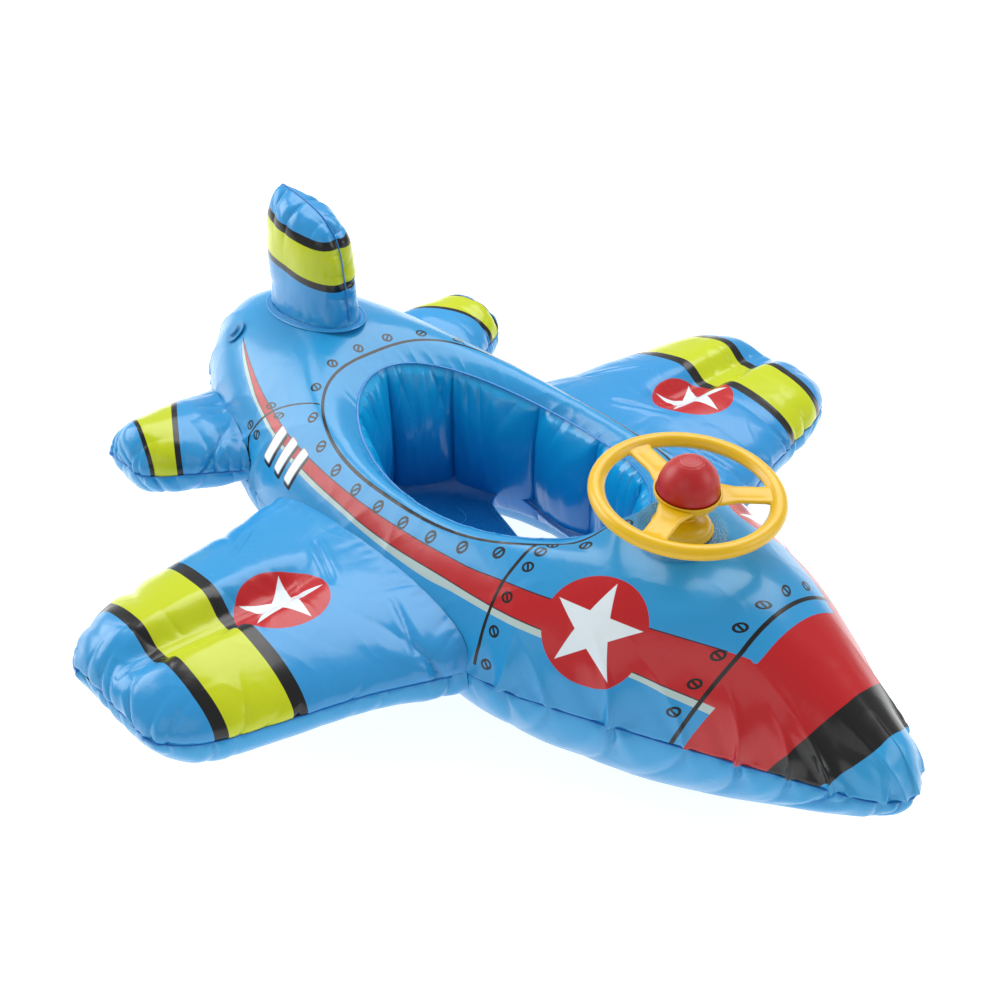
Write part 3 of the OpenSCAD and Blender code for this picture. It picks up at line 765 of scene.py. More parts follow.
# %% Sweep tree
def sweep_tree():
    tree = bpy.data.node_groups.new("sweep along a seam", "GeometryNodeTree")
    face = tree.interface
    face.new_socket("Geometry", in_out="INPUT", socket_type="NodeSocketGeometry")
    sizes = {
        name: face.new_socket(name, in_out="INPUT", socket_type="NodeSocketFloat").identifier
        for name in ("Width", "Thickness")
    }
    sizes["Material"] = face.new_socket("Material", in_out="INPUT", socket_type="NodeSocketMaterial").identifier
    face.new_socket("Geometry", in_out="OUTPUT", socket_type="NodeSocketGeometry")
    node = {}
    for key, kind in (
        ("in", "NodeGroupInput"), ("section", "GeometryNodeCurvePrimitiveCircle"), ("flat", "GeometryNodeTransform"),
        ("size", "ShaderNodeCombineXYZ"), ("sweep", "GeometryNodeCurveToMesh"),
        ("real", "GeometryNodeRealizeInstances"),
        ("paint", "GeometryNodeSetMaterial"), ("out", "NodeGroupOutput"),
    ):
        node[key] = tree.nodes.new(kind)
    node["section"].inputs["Resolution"].default_value = 8
    node["section"].inputs["Radius"].default_value = 0.5
    link = tree.links.new
    link(node["in"].outputs["Width"], node["size"].inputs["X"])
    link(node["in"].outputs["Thickness"], node["size"].inputs["Y"])
    node["size"].inputs["Z"].default_value = 1.0
    link(node["section"].outputs["Curve"], node["flat"].inputs["Geometry"])
    link(node["size"].outputs["Vector"], node["flat"].inputs["Scale"])
    link(node["in"].outputs["Geometry"], node["sweep"].inputs["Curve"])
    link(node["flat"].outputs["Geometry"], node["sweep"].inputs["Profile Curve"])
    node["sweep"].inputs["Fill Caps"].default_value = True
    link(node["sweep"].outputs["Mesh"], node["real"].inputs["Geometry"])
    link(node["real"].outputs["Geometry"], node["paint"].inputs["Geometry"])
    link(node["in"].outputs["Material"], node["paint"].inputs["Material"])
    link(node["paint"].outputs["Geometry"], node["out"].inputs["Geometry"])
    return tree, sizes


SWEEP, SWEEP_SIZES = sweep_tree()


def sweep(name, path, width, thickness, material, body, closed=True, tilts=None):
    """A band of the given section along a path in millimetres."""
    curve = bpy.data.curves.new(name, "CURVE")
    curve.dimensions = "3D"
    curve.twist_mode = "Z_UP"
    spline = curve.splines.new("POLY")
    spline.points.add(len(path) - 1)
    spline.points.foreach_set("co", np.column_stack([np.asarray(path) * MM, np.ones(len(path))]).ravel())
    spline.use_cyclic_u = closed
    maker = bpy.data.objects.new(name, curve)
    bpy.context.scene.collection.objects.link(maker)
    modifier = maker.modifiers.new("sweep", "NODES")
    modifier.node_group = SWEEP
    modifier[SWEEP_SIZES["Width"]] = width * MM
    modifier[SWEEP_SIZES["Thickness"]] = thickness * MM
    modifier[SWEEP_SIZES["Material"]] = material
    bpy.context.view_layer.update()
    seen = maker.evaluated_get(bpy.context.evaluated_depsgraph_get())
    mesh = bpy.data.meshes.new_from_object(seen)
    bpy.data.objects.remove(maker)
    mesh.name = name
    mesh.polygons.foreach_set("use_smooth", [True] * len(mesh.polygons))
    piece = bpy.data.objects.new(name, mesh)
    bpy.context.scene.collection.objects.link(piece)
    settle(piece, body, ())
    return piece


flange_vinyl = finish_vinyl("welded vinyl", plain(tint(46, 124, 196)), 0.3, 0.3, 0.5)
flange_path = deck_points[-1].copy()
flange_path[:, :2] += edge_out * 0.9
flange_path[:, 2] += 0.5 * swell(edge_run, 0 * edge_run, 30, 77)
sweep("hull_seam_flange", flange_path, 3.4, 0.9, flange_vinyl, "airframe")

# %% [markdown]
# ## Cockpit wall
#
# The wall is one strip welded to both panels. The air pushes it inwards, and short webs inside the hull hold
# it back at even places, so it stands in round pillows with a valley at each web. Both ends of each pillow
# are pinched at a weld. The wall is a grid like the hull: the inset of each point is a base bulge plus the
# pillow's arch, then fine upright wrinkles fade away from the two welds.

# %% Cockpit wall
WALL_ROWS, WALL_HEIGHT = 56, 130
WEB_TURNS = np.radians([14, 45, 78, 106, 143, 179, 217, 254, 282, 315, 346])


def wall_points():
    top, bottom = deck_points[0], belly_points[0]
    down = np.linspace(0, 1, WALL_ROWS)[:, None]
    arc = RIM_RADIUS_MEAN * np.abs((turn[:, None] - WEB_TURNS[None, :] + math.pi) % FULL_TURN - math.pi)
    nearest = arc.min(axis=1)
    ordered = np.sort(arc, axis=1)
    half = (ordered[:, 0] + ordered[:, 1]) / 2
    arch = np.sqrt(np.clip(1 - (1 - nearest / half) ** 2, 0, 1))
    profile = np.sin(math.pi * np.clip(down, 0, 1)) ** 0.62
    tall = np.clip(np.sin(math.pi * down), 0, 1) ** 0.5
    inset = profile * 8 + tall * 18 * (arch**0.8 - 0.35)
    from_top, from_foot = down * WALL_HEIGHT, (1 - down) * WALL_HEIGHT
    rim = turn[None, :] * RIM_RADIUS_MEAN
    inset = inset + puckers(rim, from_top, RIM_LENGTH, 9, 3.2, 34, 31) * smooth(from_top / 6)
    inset = inset + puckers(rim, from_foot, RIM_LENGTH, 14, 1.6, 18, 32) * smooth(from_foot / 6)
    inset = inset + 0.7 * swell(rim, from_top * 0.4, 26, 33) * profile
    inset = inset * smooth(down * 30) * smooth((1 - down) * 30)
    x, y = cockpit_oval(turn[None, :])
    out_x, out_y = np.cos(turn) / COCKPIT_LENGTH, np.sin(turn) / COCKPIT_WIDTH
    size = np.hypot(out_x, out_y)
    points = mix(top[None], bottom[None], down[..., None])
    points = points - np.stack([out_x / size * inset, out_y / size * inset, 0 * inset], axis=-1)
    return points, rim * np.ones_like(inset), from_top * np.ones_like(inset)


wall, wall_run, wall_down = wall_points()


# Painted light and shade: the wall's colour is painted lighter towards its top, near the deck, where light falls, and
# darker lower down in the cockpit, where shade falls.
def wall_colour_with_painted_light(place):
    height = place.split()[2] * 1000
    shade = ((height - 40) / 130).low(1.0).high(0.0)
    return paint(tint(8, 120, 190), shade, WALL_BLUE_PAINTED_LIT)


cockpit_vinyl = finish_vinyl("deep blue vinyl with painted light", wall_colour_with_painted_light, 0.23, 0.3, 0.7)
cockpit_skin = make_piece(
    "cockpit_wall_skin", wall, grid_faces(WALL_ROWS, AROUND, True, True), cockpit_vinyl, "airframe", {},
    "cockpit_wall")
rim_bead = deck_points[0] + np.array([0, 0, 0.3])
rim_bead[:, 0] -= 0.8 * np.cos(turn)
rim_bead[:, 1] -= 0.8 * np.sin(turn)
rim_vinyl = finish_vinyl("rim weld", plain(tint(30, 128, 196)), 0.28, 0.3, 0.5)
sweep("cockpit_rim_weld", rim_bead, 2.4, 1.4, rim_vinyl, "airframe")

# %% [markdown]
# ## Seat sling
#
# The seat is one flat sheet welded to the wall all round, with two leg holes. It hangs a little under its own
# weight and shows a double weld round its edge, a welded border round each hole, and two U-shaped welds. The
# sheet is not a grid, so its outline and holes are filled by a constrained triangulation of scattered points.

# %% Seat sling
LEG_REAR, LEG_FRONT, LEG_REAR_RADIUS, LEG_FRONT_RADIUS = (-92.0, 66.0), (42.0, 45.0), 12.0, 27.0


def tapered_distance(x, y):
    """Distance outside a leg hole, whose round ends differ in size."""
    ax, ay = LEG_REAR
    bx, by = LEG_FRONT
    t = np.clip(((x - ax) * (bx - ax) + (y - ay) * (by - ay)) / ((bx - ax) ** 2 + (by - ay) ** 2), 0, 1)
    return np.hypot(x - mix(ax, bx, t), y - mix(ay, by, t)) - mix(LEG_REAR_RADIUS, LEG_FRONT_RADIUS, t)


def inside_oval(x, y):
    """Distance inside the cockpit's oval, nearly."""
    share = np.hypot((x - COCKPIT_X) / COCKPIT_LENGTH, y / COCKPIT_WIDTH)
    slope = np.hypot((x - COCKPIT_X) / COCKPIT_LENGTH**2, y / COCKPIT_WIDTH**2) / np.maximum(share, 1e-6)
    return (1 - share) / np.maximum(slope, 1e-6)


def hole_distance(x, y):
    side = tapered_distance(x, np.abs(y))
    return np.maximum(side, 8.0 - inside_oval(x, y))


def hole_loop(side, grow):
    """Points of a leg hole's edge, found along rays from its middle."""
    middle_x, middle_y = mix(LEG_REAR[0], LEG_FRONT[0], 0.62), mix(LEG_REAR[1], LEG_FRONT[1], 0.62)
    loop = []
    for angle in np.linspace(0, FULL_TURN, 150, endpoint=False):
        near, far = 0.0, 140.0
        for _ in range(24):
            reach = (near + far) / 2
            x, y = middle_x + reach * math.cos(angle), middle_y + reach * math.sin(angle)
            inside = float(hole_distance(np.array(x), np.array(y))) < grow
            near, far = (reach, far) if inside else (near, reach)
        loop.append((middle_x + near * math.cos(angle), side * (middle_y + near * math.sin(angle))))
    return np.array(loop)[:: int(side)]


def sling_height(x, y):
    edge = inside_oval(x, y)
    sag = 9.0 * (1 - smooth(edge / 26)) - 2.4 * smooth(edge / 60) + 1.0 * swell(x, y, 60, 61) * smooth(edge / 16)
    angle = np.arctan2(y / COCKPIT_WIDTH, (x - COCKPIT_X) / COCKPIT_LENGTH)
    run = (angle % FULL_TURN) * RIM_RADIUS_MEAN
    folds = puckers(run, np.maximum(edge, 0), RIM_LENGTH, 17, 2.4, 15, 62) * smooth(edge / 5)
    return SEAT_HEIGHT + 0.9 + sag + folds * smooth(hole_distance(x, y) / 8)


rng = np.random.default_rng(5)
oval_turn = np.linspace(0, FULL_TURN, 420, endpoint=False)
oval_loop = np.stack(cockpit_oval(oval_turn, 0.8), axis=-1)
hole_loops = [hole_loop(side, 0.0) for side in (1, -1)]
mesh_x, mesh_y = np.meshgrid(np.arange(-184, 132, 2.2), np.arange(-92, 92, 2.2))
mesh_x = mesh_x + rng.uniform(-0.5, 0.5, mesh_x.shape)
scatter = np.stack([mesh_x.ravel(), mesh_y.ravel()], axis=-1)
scatter = scatter[(inside_oval(*scatter.T) > 1.8) & (hole_distance(*scatter.T) > 1.2)]
loops, first = [oval_loop, *hole_loops], 0
edges = []
for loop in loops:
    edges += [(first + n, first + (n + 1) % len(loop)) for n in range(len(loop))]
    first += len(loop)
flat_points = np.concatenate([*loops, scatter])
filled = delaunay_2d_cdt([Vector(p) for p in flat_points.tolist()], edges, [], 0, 1e-5)
seat_xy = np.array([tuple(v) for v in filled[0]])
seat_faces = []
for face in filled[2]:
    mid = seat_xy[list(face)].mean(axis=0)
    if inside_oval(*mid) > 0.75 and hole_distance(*mid) > 0:
        a, b, c = (seat_xy[face[n]] for n in range(3))
        turns = (b[0] - a[0]) * (c[1] - a[1]) - (b[1] - a[1]) * (c[0] - a[0])
        seat_faces.append(tuple(face) if turns > 0 else tuple(face[::-1]))
seat_points = np.column_stack([seat_xy, sling_height(*seat_xy.T)])


def seat_print(place):
    return paint(tint(8, 92, 160), noise(place, 12, 3), tint(14, 112, 180))


seat_vinyl = finish_vinyl("seat vinyl", seat_print, 0.26, 0.25, 1.0)
seat = make_piece("seat_sling_sheet", seat_points, seat_faces, seat_vinyl, "airframe", {}, "seat_sling")
flat_area = sum(
    abs((seat_xy[f[1]][0] - seat_xy[f[0]][0]) * (seat_xy[f[2]][1] - seat_xy[f[0]][1])
        - (seat_xy[f[2]][0] - seat_xy[f[0]][0]) * (seat_xy[f[1]][1] - seat_xy[f[0]][1])) / 2
    for f in seat_faces)
print("seat sheet", round(flat_area / 100), "square cm")


def on_sling(xy, lift=0.5):
    return np.column_stack([xy, sling_height(*np.asarray(xy).T) + lift])


weld_vinyl = finish_vinyl("seat weld", plain(tint(40, 136, 206)), 0.24, 0.4, 0.4)
for side, loop in zip(("left", "right"), hole_loops):
    wide = hole_loop(1 if side == "left" else -1, 3.0)
    wide = wide[inside_oval(*wide.T) > 2.0]
    sweep(f"{side}_leg_hole_border", on_sling(loop), 2.2, 1.3, weld_vinyl, "airframe")
    sweep(f"{side}_leg_hole_weld", on_sling(wide), 1.2, 0.8, weld_vinyl, "airframe")
for number, inset in enumerate((3.2, 6.4)):
    ring = np.stack(cockpit_oval(oval_turn, inset), axis=-1)
    sweep(f"seat_edge_weld_{number + 1}", on_sling(ring, 0.3), 1.1, 0.7, weld_vinyl, "airframe")
for number, (middle, half) in enumerate(((-120, 30), (70, 26))):
    bend = np.linspace(-1, 1, 60)
    loop = np.column_stack([middle + (24 if middle < 0 else -20) * (1 - bend**4), half * np.sin(bend * 1.5)])
    sweep(f"seat_u_weld_{number + 1}", on_sling(loop, 0.3), 1.3, 0.8, weld_vinyl, "airframe", False)

# %% [markdown]
# ## Wings and tailplanes
#
# A wing is a flat bag: a top and a bottom panel, welded at the leading edge, the tip and the trailing edge,
# and welded to the hull at its root. A web inside holds the middle down, so the wing is two soft lobes with a
# valley between them. The grid runs from trailing to leading edge, and from root to tip. The tailplanes are
# the same bag without a web, so one function makes all eight panels.

# %% Wing functions
WING = dict(back=(-163, -116), front=(111, 47), tip=384, rise=41, drop=50, root=45, groove=17, lift=(0, 8))
TAILPLANE = dict(back=(-350, -336), front=(-214, -266), tip=217, rise=33, drop=33, root=26, groove=0, lift=(21, 21))
CHORD, SPAN = 150, 190


def wing_base(w, side):
    s = np.linspace(0, 1, CHORD)[None, :]
    v = np.sin(np.linspace(0, math.pi / 2, SPAN))[:, None]
    tip = super_round(np.maximum(0, v - 0.74) / 0.26, 2.4, 2)
    back, front = mix(*w["back"], v), mix(*w["front"], v)
    x = (back + front) / 2 - (front - back) / 2 * mix(0.62, 1, tip) * np.cos(math.pi * s)
    full = mix(w["root"], w["rise"] if side > 0 else w["drop"], smooth(v / 0.35))
    along_groove = smooth((v - 0.16) / 0.22) * tip
    middle = (back + front) / 2
    valley = w["groove"] * np.exp(-((np.maximum(0, np.abs(x - middle) - 4.5) / 15) ** 2))
    fullness = mix(0.5, 0.85, smooth(v / 0.3)) if w["groove"] else 0.85
    up = np.maximum(0, (full * np.abs(np.sin(math.pi * s)) ** fullness - valley * along_groove) * tip)
    seam = 91 + mix(*w["lift"], smooth(v / 0.4))
    z = seam + side * up
    root = side_y(x, z)
    y = mix(root, w["tip"], v)
    return np.stack([x + 0 * v, y, z], axis=-1), s, v


def wing_panel(w, side, seed, mirrored, folds=()):
    points, s, v = wing_base(w, side)
    out = normals(points, False) * side
    x, y = points[..., 0], points[..., 1]
    step_s = np.linalg.norm(np.diff(points, axis=1), axis=-1)
    from_back = np.concatenate([np.zeros((SPAN, 1)), np.cumsum(step_s, axis=1)], axis=1)
    from_front = from_back[:, -1:] - from_back
    step_v = np.linalg.norm(np.diff(points, axis=0), axis=-1)
    from_root = np.concatenate([np.zeros((1, CHORD)), np.cumsum(step_v, axis=0)])
    from_tip = from_root[-1:] - from_root
    out[:, 0], out[:, -1], out[-1] = (-1, 0, 0), (1, 0, 0), (0, 1, 0)
    big = w["tip"] > 300
    deep, gap = (6.0, 27) if big else (4.2, 19)
    lift = puckers(from_root, from_back, 420, gap, deep, 24, seed) * smooth(from_root / 8)
    lift = lift + puckers(from_root, from_front, 420, gap, deep, 24, seed + 1) * smooth(from_root / 8)
    lift = lift + puckers(x + 400, from_tip, 800, gap * 0.85, deep, 34, seed + 2)
    lift = lift + puckers(x + 400, from_root, 800, 20, 2.4, 18, seed + 3) * smooth(from_root / 4)
    edge = np.minimum(np.minimum(from_back, from_front), from_tip)
    lift = lift - (2.6 if big else 1.8) * np.exp(-edge / 4)
    held = smooth(edge / 26)
    lift = lift + held * 0.8 * swell(x, y, 80, seed + 4)
    if w["groove"]:
        middle = (mix(*w["back"], v) + mix(*w["front"], v)) / 2
        beside = np.abs(x - middle) - 5
        near = smooth((from_root - 62) / 20) * smooth(from_tip / 40)
        ribs = puckers(from_root, np.maximum(beside, 0), 420, 26, 2.4, 18, seed + 6)
        lift = lift + ribs * near * smooth(beside / 5)
        loops = np.hypot(x - middle, np.minimum(0, from_root - 75) + np.maximum(0, from_root - 232))
        lift = lift - 0.5 * np.exp(-(((np.abs(loops - 4.2)) / 1.0) ** 2)) * smooth((from_root - 60) / 10)
    for fold in folds:
        lift = lift + crease(x, y, *fold) * held
    lift = lift * (1 - 0.75 * np.exp(-from_root / 5))
    points = points + out * lift[..., None]
    points[..., 2] = np.maximum(points[..., 2], 0.3)
    if mirrored:
        points[..., 1] *= -1
    return points


def wing_pair(name, w, side, seed, material, node, folds=()):
    for which in ("right", "left"):
        mirrored = which == "right"
        points = wing_panel(w, side, seed + (9 if mirrored else 0), mirrored, folds)
        faces = grid_faces(SPAN, CHORD, False, (side > 0) != mirrored)
        piece = make_piece(f"{which}_{name}", points, faces, material, "airframe", {}, f"{which}_{node}")
        if side > 0:
            edge = np.concatenate([points[6:, 0], points[-1, 1:-1], points[6:, -1][::-1]])
            sweep(f"{which}_{name}_flange", edge, 3.0, 0.9, flange_vinyl, "airframe", False)
        yield piece


# %% Wing prints
def wing_print(place):
    x, y, _ = [v * 1000 for v in place.split()]
    out = abs(y)
    base = paint(BLUE, noise(place, 4, 1), tint(38, 130, 192))
    inner = 265.5 + (x + 114) * 0.066
    outer = 334 + (x + 114) * 0.017
    stripe = out.over(inner + 11, SOFT) * (1 - out.over(outer, SOFT))
    base = paint(base, out.over(inner, SOFT) * (1 - out.over(outer + 10, SOFT)), BLACK)
    base = paint(base, stripe, LIME)
    return roundel(base, x + 14, out - 237, 38.5, 35.5, math.radians(66))


def tailplane_print(place):
    x, y, _ = [v * 1000 for v in place.split()]
    out = abs(y)
    base = paint(BLUE, noise(place, 4, 1), tint(38, 130, 192))
    inner = 149 + (x + 317) * 0.566
    outer = 192.5 + (x + 315) * 0.29
    base = paint(base, out.over(inner - 3, SOFT) * (1 - out.over(outer + 2, SOFT)), BLACK)
    return paint(base, out.over(inner + 3, SOFT) * (1 - out.over(outer - 2, SOFT)), LIME)


wing_vinyl = finish_vinyl("printed wing vinyl", wing_print)
tail_vinyl = finish_vinyl("printed tail vinyl", tailplane_print)
TOP_FOLDS = [((-60, 172), (-2, 196), 2.4, 2.0), ((40, 168), (92, 186), 2.2, 2.2), ((-118, 196), (-82, 240), 1.8, 2.0)]
soft_wings = [
    *wing_pair("wing_top_skin", WING, 1, 40, wing_vinyl, "wing_top_panel", TOP_FOLDS),
    *wing_pair("wing_bottom_skin", WING, -1, 60, belly_vinyl, "wing_bottom_panel"),
    *wing_pair("tailplane_top_skin", TAILPLANE, 1, 80, tail_vinyl, "tailplane_top_panel"),
    *wing_pair("tailplane_bottom_skin", TAILPLANE, -1, 90, belly_vinyl, "tailplane_bottom_panel"),
]
print("wing tips at", round(max(piece.dimensions.y for piece in soft_wings) * 1000), "mm chord side size")

# %% [markdown]
# ## Fin
#
# The fin is two equal panels welded along the front, the top and the rear, standing on a welded strip. The
# same kind of grid runs round it from rear to front and up from the strip. It leans on nothing, so its
# puckers at the top are the deepest on the toy.

# %% Fin
FIN_REAR, FIN_CHORD, FIN_TOP, FIN_HALF, FIN_RUN = -347.0, 112.0, 316.0, 29.0, 140


def fin_panel(side, seed):
    s = np.linspace(0, 1, 110)[None, :]
    v = np.linspace(0, 1, 150)[:, None] ** 0.85
    cap = super_round(np.maximum(0, v - 0.5) / 0.5, 3, 2)
    back = mix(FIN_REAR, FIN_REAR + 4, v)
    front = mix(FIN_REAR + FIN_CHORD, FIN_REAR + FIN_CHORD - 10, v)
    x = (back + front) / 2 - (front - back) / 2 * mix(0.66, 1, cap) * np.cos(math.pi * s)
    y = FIN_HALF * np.sin(math.pi * s) ** 0.8 * cap
    z = mix(deck_z(x, y) + 0.9, FIN_TOP - 20 * s**2, v)
    points = np.stack([x, y, z], axis=-1)
    out = -normals(points, False)
    out[:, 0], out[:, -1], out[-1] = (-1, 0, 0), (1, 0, 0), (0, 0, 1)
    step_s = np.linalg.norm(np.diff(points, axis=1), axis=-1)
    from_back = np.concatenate([np.zeros((150, 1)), np.cumsum(step_s, axis=1)], axis=1)
    from_front = from_back[:, -1:] - from_back
    from_top, from_foot = (1 - v) * FIN_RUN + 0 * s, v * FIN_RUN + 0 * s
    lift = puckers(z, from_back, 330, 24, 4.0, 20, seed) + puckers(z, from_front, 330, 24, 4.0, 20, seed + 1)
    lift = lift + puckers(x + 400, from_top, 200, 24, 4.2, 30, seed + 2)
    lift = lift + puckers(x + 400, from_foot, 200, 17, 2.8, 18, seed + 3)
    edge = np.minimum(np.minimum(from_back, from_front), from_top)
    lift = lift - 1.6 * np.exp(-edge / 4) + smooth(edge / 20) * 0.9 * swell(x, z, 50, seed + 4)
    lift = lift * (0.25 + 0.75 * smooth(edge / 2))
    points = points + out * lift[..., None]
    points[0] = np.stack([x[0], y[0], deck_z(x[0], y[0]) + 0.4], axis=-1)
    points[:, 0, 1] = points[:, -1, 1] = points[-1, :, 1] = 0
    if side < 0:
        points[..., 1] *= -1
    return points


def fin_print(place):
    x, _, z = [v * 1000 for v in place.split()]
    level = z + (x + 285) * 0.13
    base = paint(BLUE, noise(place, 4, 1), tint(38, 130, 192))
    base = paint(base, level.between(246.5, 292.5, SOFT), BLACK)
    return paint(base, level.between(253.5, 285, SOFT), LIME)


fin_vinyl = finish_vinyl("printed fin vinyl", fin_print)
for side, which in ((1, "left"), (-1, "right")):
    points = fin_panel(side, 120 + side)
    faces = grid_faces(150, 110, False, side < 0)
    make_piece(f"fin_{which}_skin", points, faces, fin_vinyl, "airframe", {}, f"fin_{which}_panel")
fin_edge = np.concatenate([points[4:, 0], points[-1, 1:-1], points[4:, -1][::-1]])
sweep("fin_seam_flange", fin_edge, 1.0, 3.0, flange_vinyl, "airframe", False)
strip_turn = np.linspace(0, FULL_TURN, 220, endpoint=False)


def foot_loop(grow, lift):
    x = FIN_REAR + FIN_CHORD / 2 + (FIN_CHORD / 2 + grow) * np.cos(strip_turn)
    y = (FIN_HALF + grow) * np.sin(strip_turn)
    return np.stack([x, y, deck_z(x, y) + lift], axis=-1)


strip_rings = [foot_loop(g, h) for g, h in ((-4.0, 0.2), (8.0, 0.1), (8.3, 0.5), (7.8, 0.8), (-4.0, 0.9), (-4.0, 0.2))]
strip = make_piece("fin_foot_strip", np.array(strip_rings), grid_faces(6, 220, True, True), belly_vinyl, "airframe", {},
                   "fin_weld_strip")
for number, grow in enumerate((2.5, 6.5)):
    sweep(f"fin_foot_weld_{number + 1}", foot_loop(grow, 0.9), 1.1, 0.7, flange_vinyl, "airframe")

# %% [markdown]
# ## Steering wheel and horn
#
# The wheel is moulded in one piece: a round rim with a low ridge on its inside, three broad spokes that flare
# into it, and a flared hub with a cup for the horn. Turned parts are lathed from a profile; the spokes are
# short lofts with a rounded section. All of it leans on one axis, so it is built upright and then placed.

# %% Turned parts
WHEEL_X, WHEEL_TILT, WHEEL_CLOCK = 187.0, math.radians(4.5), math.radians(50)
WHEEL_Z = float(deck_z(np.array(WHEEL_X), np.array(0.0)))


def on_axis(points, clock=0.0):
    """Upright points to their place on the wheel's leaning axis."""
    x, y, z = np.moveaxis(np.asarray(points, float), -1, 0)
    x, y = x * math.cos(clock) - y * math.sin(clock), x * math.sin(clock) + y * math.cos(clock)
    lean_x = x * math.cos(WHEEL_TILT) + z * math.sin(WHEEL_TILT)
    lean_z = z * math.cos(WHEEL_TILT) - x * math.sin(WHEEL_TILT)
    return np.stack([lean_x + WHEEL_X, y, lean_z + WHEEL_Z], axis=-1)


def rounded(profile, turns=5, cut=0.45):
    """A profile with its inner corners rounded off."""
    profile = np.asarray(profile, float)
    out = [profile[0]]
    for before, corner, after in zip(profile[:-2], profile[1:-1], profile[2:]):
        size = min(np.linalg.norm(corner - before), np.linalg.norm(after - corner)) * cut
        start = corner + (before - corner) / np.linalg.norm(before - corner) * size
        end = corner + (after - corner) / np.linalg.norm(after - corner) * size
        for t in np.linspace(0, 1, turns):
            out.append((1 - t) ** 2 * start + 2 * t * (1 - t) * corner + t**2 * end)
    return np.array([*out, profile[-1]])


def lathe(profile, around=128, closed=False):
    """Points and faces of a turned shape. Its profile runs up the outside, and its poles are closed."""
    profile = np.asarray(profile, float)
    a = np.linspace(0, FULL_TURN, around, endpoint=False)
    rings = np.stack([profile[:, :1] * np.cos(a), profile[:, :1] * np.sin(a), profile[:, 1:] + 0 * a], axis=-1)
    if closed:
        rings = np.concatenate([rings, rings[:1]])
    points = rings.reshape(-1, 3)
    faces = [tuple(f) for f in grid_faces(len(rings), around, True, False)]
    if closed:
        last = (len(rings) - 1) * around
        faces = [tuple(n - last if n >= last else n for n in f) for f in faces]
        return points[:last], faces
    for row, turned in ((0, True), (len(rings) - 1, False)):
        ring = [row * around + n for n in range(around)]
        if profile[row, 0] > 1e-6:
            faces.append(tuple(ring[::-1] if turned else ring))
    return points, faces


def merge(parts):
    """Several (points, faces) as one."""
    points, faces, first = [], [], 0
    for part_points, part_faces in parts:
        points.append(part_points)
        faces += [tuple(int(n) + first for n in f) for f in part_faces]
        first += len(part_points)
    return np.concatenate(points), faces


RIM_CENTRE, RIM_RADIUS, WHEEL_PLANE, SPOKE_ROOT = 69.3, 6.2, 36.0, 24.9
bend = np.linspace(0, FULL_TURN, 40, endpoint=False)
ridge = 0.9 * np.exp(-(((bend - math.pi) / 0.28) ** 2))
rim_profile = np.column_stack(
    [RIM_CENTRE + (RIM_RADIUS + ridge) * np.cos(bend), WHEEL_PLANE + RIM_RADIUS * 0.96 * np.sin(bend)])
hub_profile = rounded([
    (6.1, 17.4), (8.6, 17.4), (9.2, 20), (10.6, 25.5), (16, 28.2), (21.4, 30.2), (25.0, 34.0), (25.6, 36.6),
    (26.35, 39.4), (25.9, 40.0), (24.4, 39.8), (24.35, 35.9), (24.35, 35.5), (24.0, 35.5), (6.1, 35.5)])


def spoke_part(angle):
    """A broad spoke with rounded edges, flared at the hub and at the rim."""
    t = np.linspace(0, 1, 30)
    reach = mix(SPOKE_ROOT, RIM_CENTRE - 1.5, t)
    half = 9.6 + 4.2 * (1 - smooth(t / 0.32)) + 5.5 * smooth((t - 0.72) / 0.28) ** 2
    thick = 2.2 + 0.8 * smooth((t - 0.8) / 0.2)
    around = np.linspace(0, FULL_TURN, 32, endpoint=False)
    across = np.sign(np.cos(around)) * np.abs(np.cos(around)) ** 0.55
    up = np.sign(np.sin(around)) * np.abs(np.sin(around)) ** 0.7
    y = half[:, None] * across
    dish = 1.0 * np.exp(-((y / 5.0) ** 2)) * (up > 0.4) * smooth((t[:, None] - 0.1) / 0.2)
    dish = dish * smooth((0.92 - t[:, None]) / 0.2)
    z = WHEEL_PLANE + thick[:, None] * up - dish
    hollow = (np.sqrt(SPOKE_ROOT**2 - y**2) - SPOKE_ROOT) * (1 - smooth(t[:, None] / 0.35))
    points = np.stack([reach[:, None] + hollow, y, z], axis=-1)
    turned = points.copy()
    turned[..., 0] = points[..., 0] * math.cos(angle) - points[..., 1] * math.sin(angle)
    turned[..., 1] = points[..., 0] * math.sin(angle) + points[..., 1] * math.cos(angle)
    faces = [tuple(f) for f in grid_faces(30, 32, True, False)]
    faces += [tuple(range(32))[::-1], tuple(29 * 32 + n for n in range(32))]
    return turned.reshape(-1, 3), faces


parts = [lathe(rim_profile, 160, True), lathe(hub_profile, 128, True)]
parts += [spoke_part(n * FULL_TURN / 3) for n in range(3)]
wheel_points, wheel_faces = merge(parts)


def outward(piece):
    """Joins a mesh at its poles, and turns its faces outwards."""
    work = bmesh.new()
    work.from_mesh(piece.data)
    bmesh.ops.remove_doubles(work, verts=work.verts, dist=1e-6)
    for edge in [edge for edge in work.edges if not edge.link_faces]:
        work.edges.remove(edge)
    bmesh.ops.recalc_face_normals(work, faces=work.faces)
    work.to_mesh(piece.data)
    work.free()


yellow_plastic = finish_plastic("yellow moulded plastic", YELLOW, 0.3, 0.00003, 0.1)
wheel = make_piece("steering_wheel_moulding", on_axis(wheel_points, WHEEL_CLOCK), wheel_faces, yellow_plastic, "wheel",
                   {}, "steering_wheel")
outward(wheel)

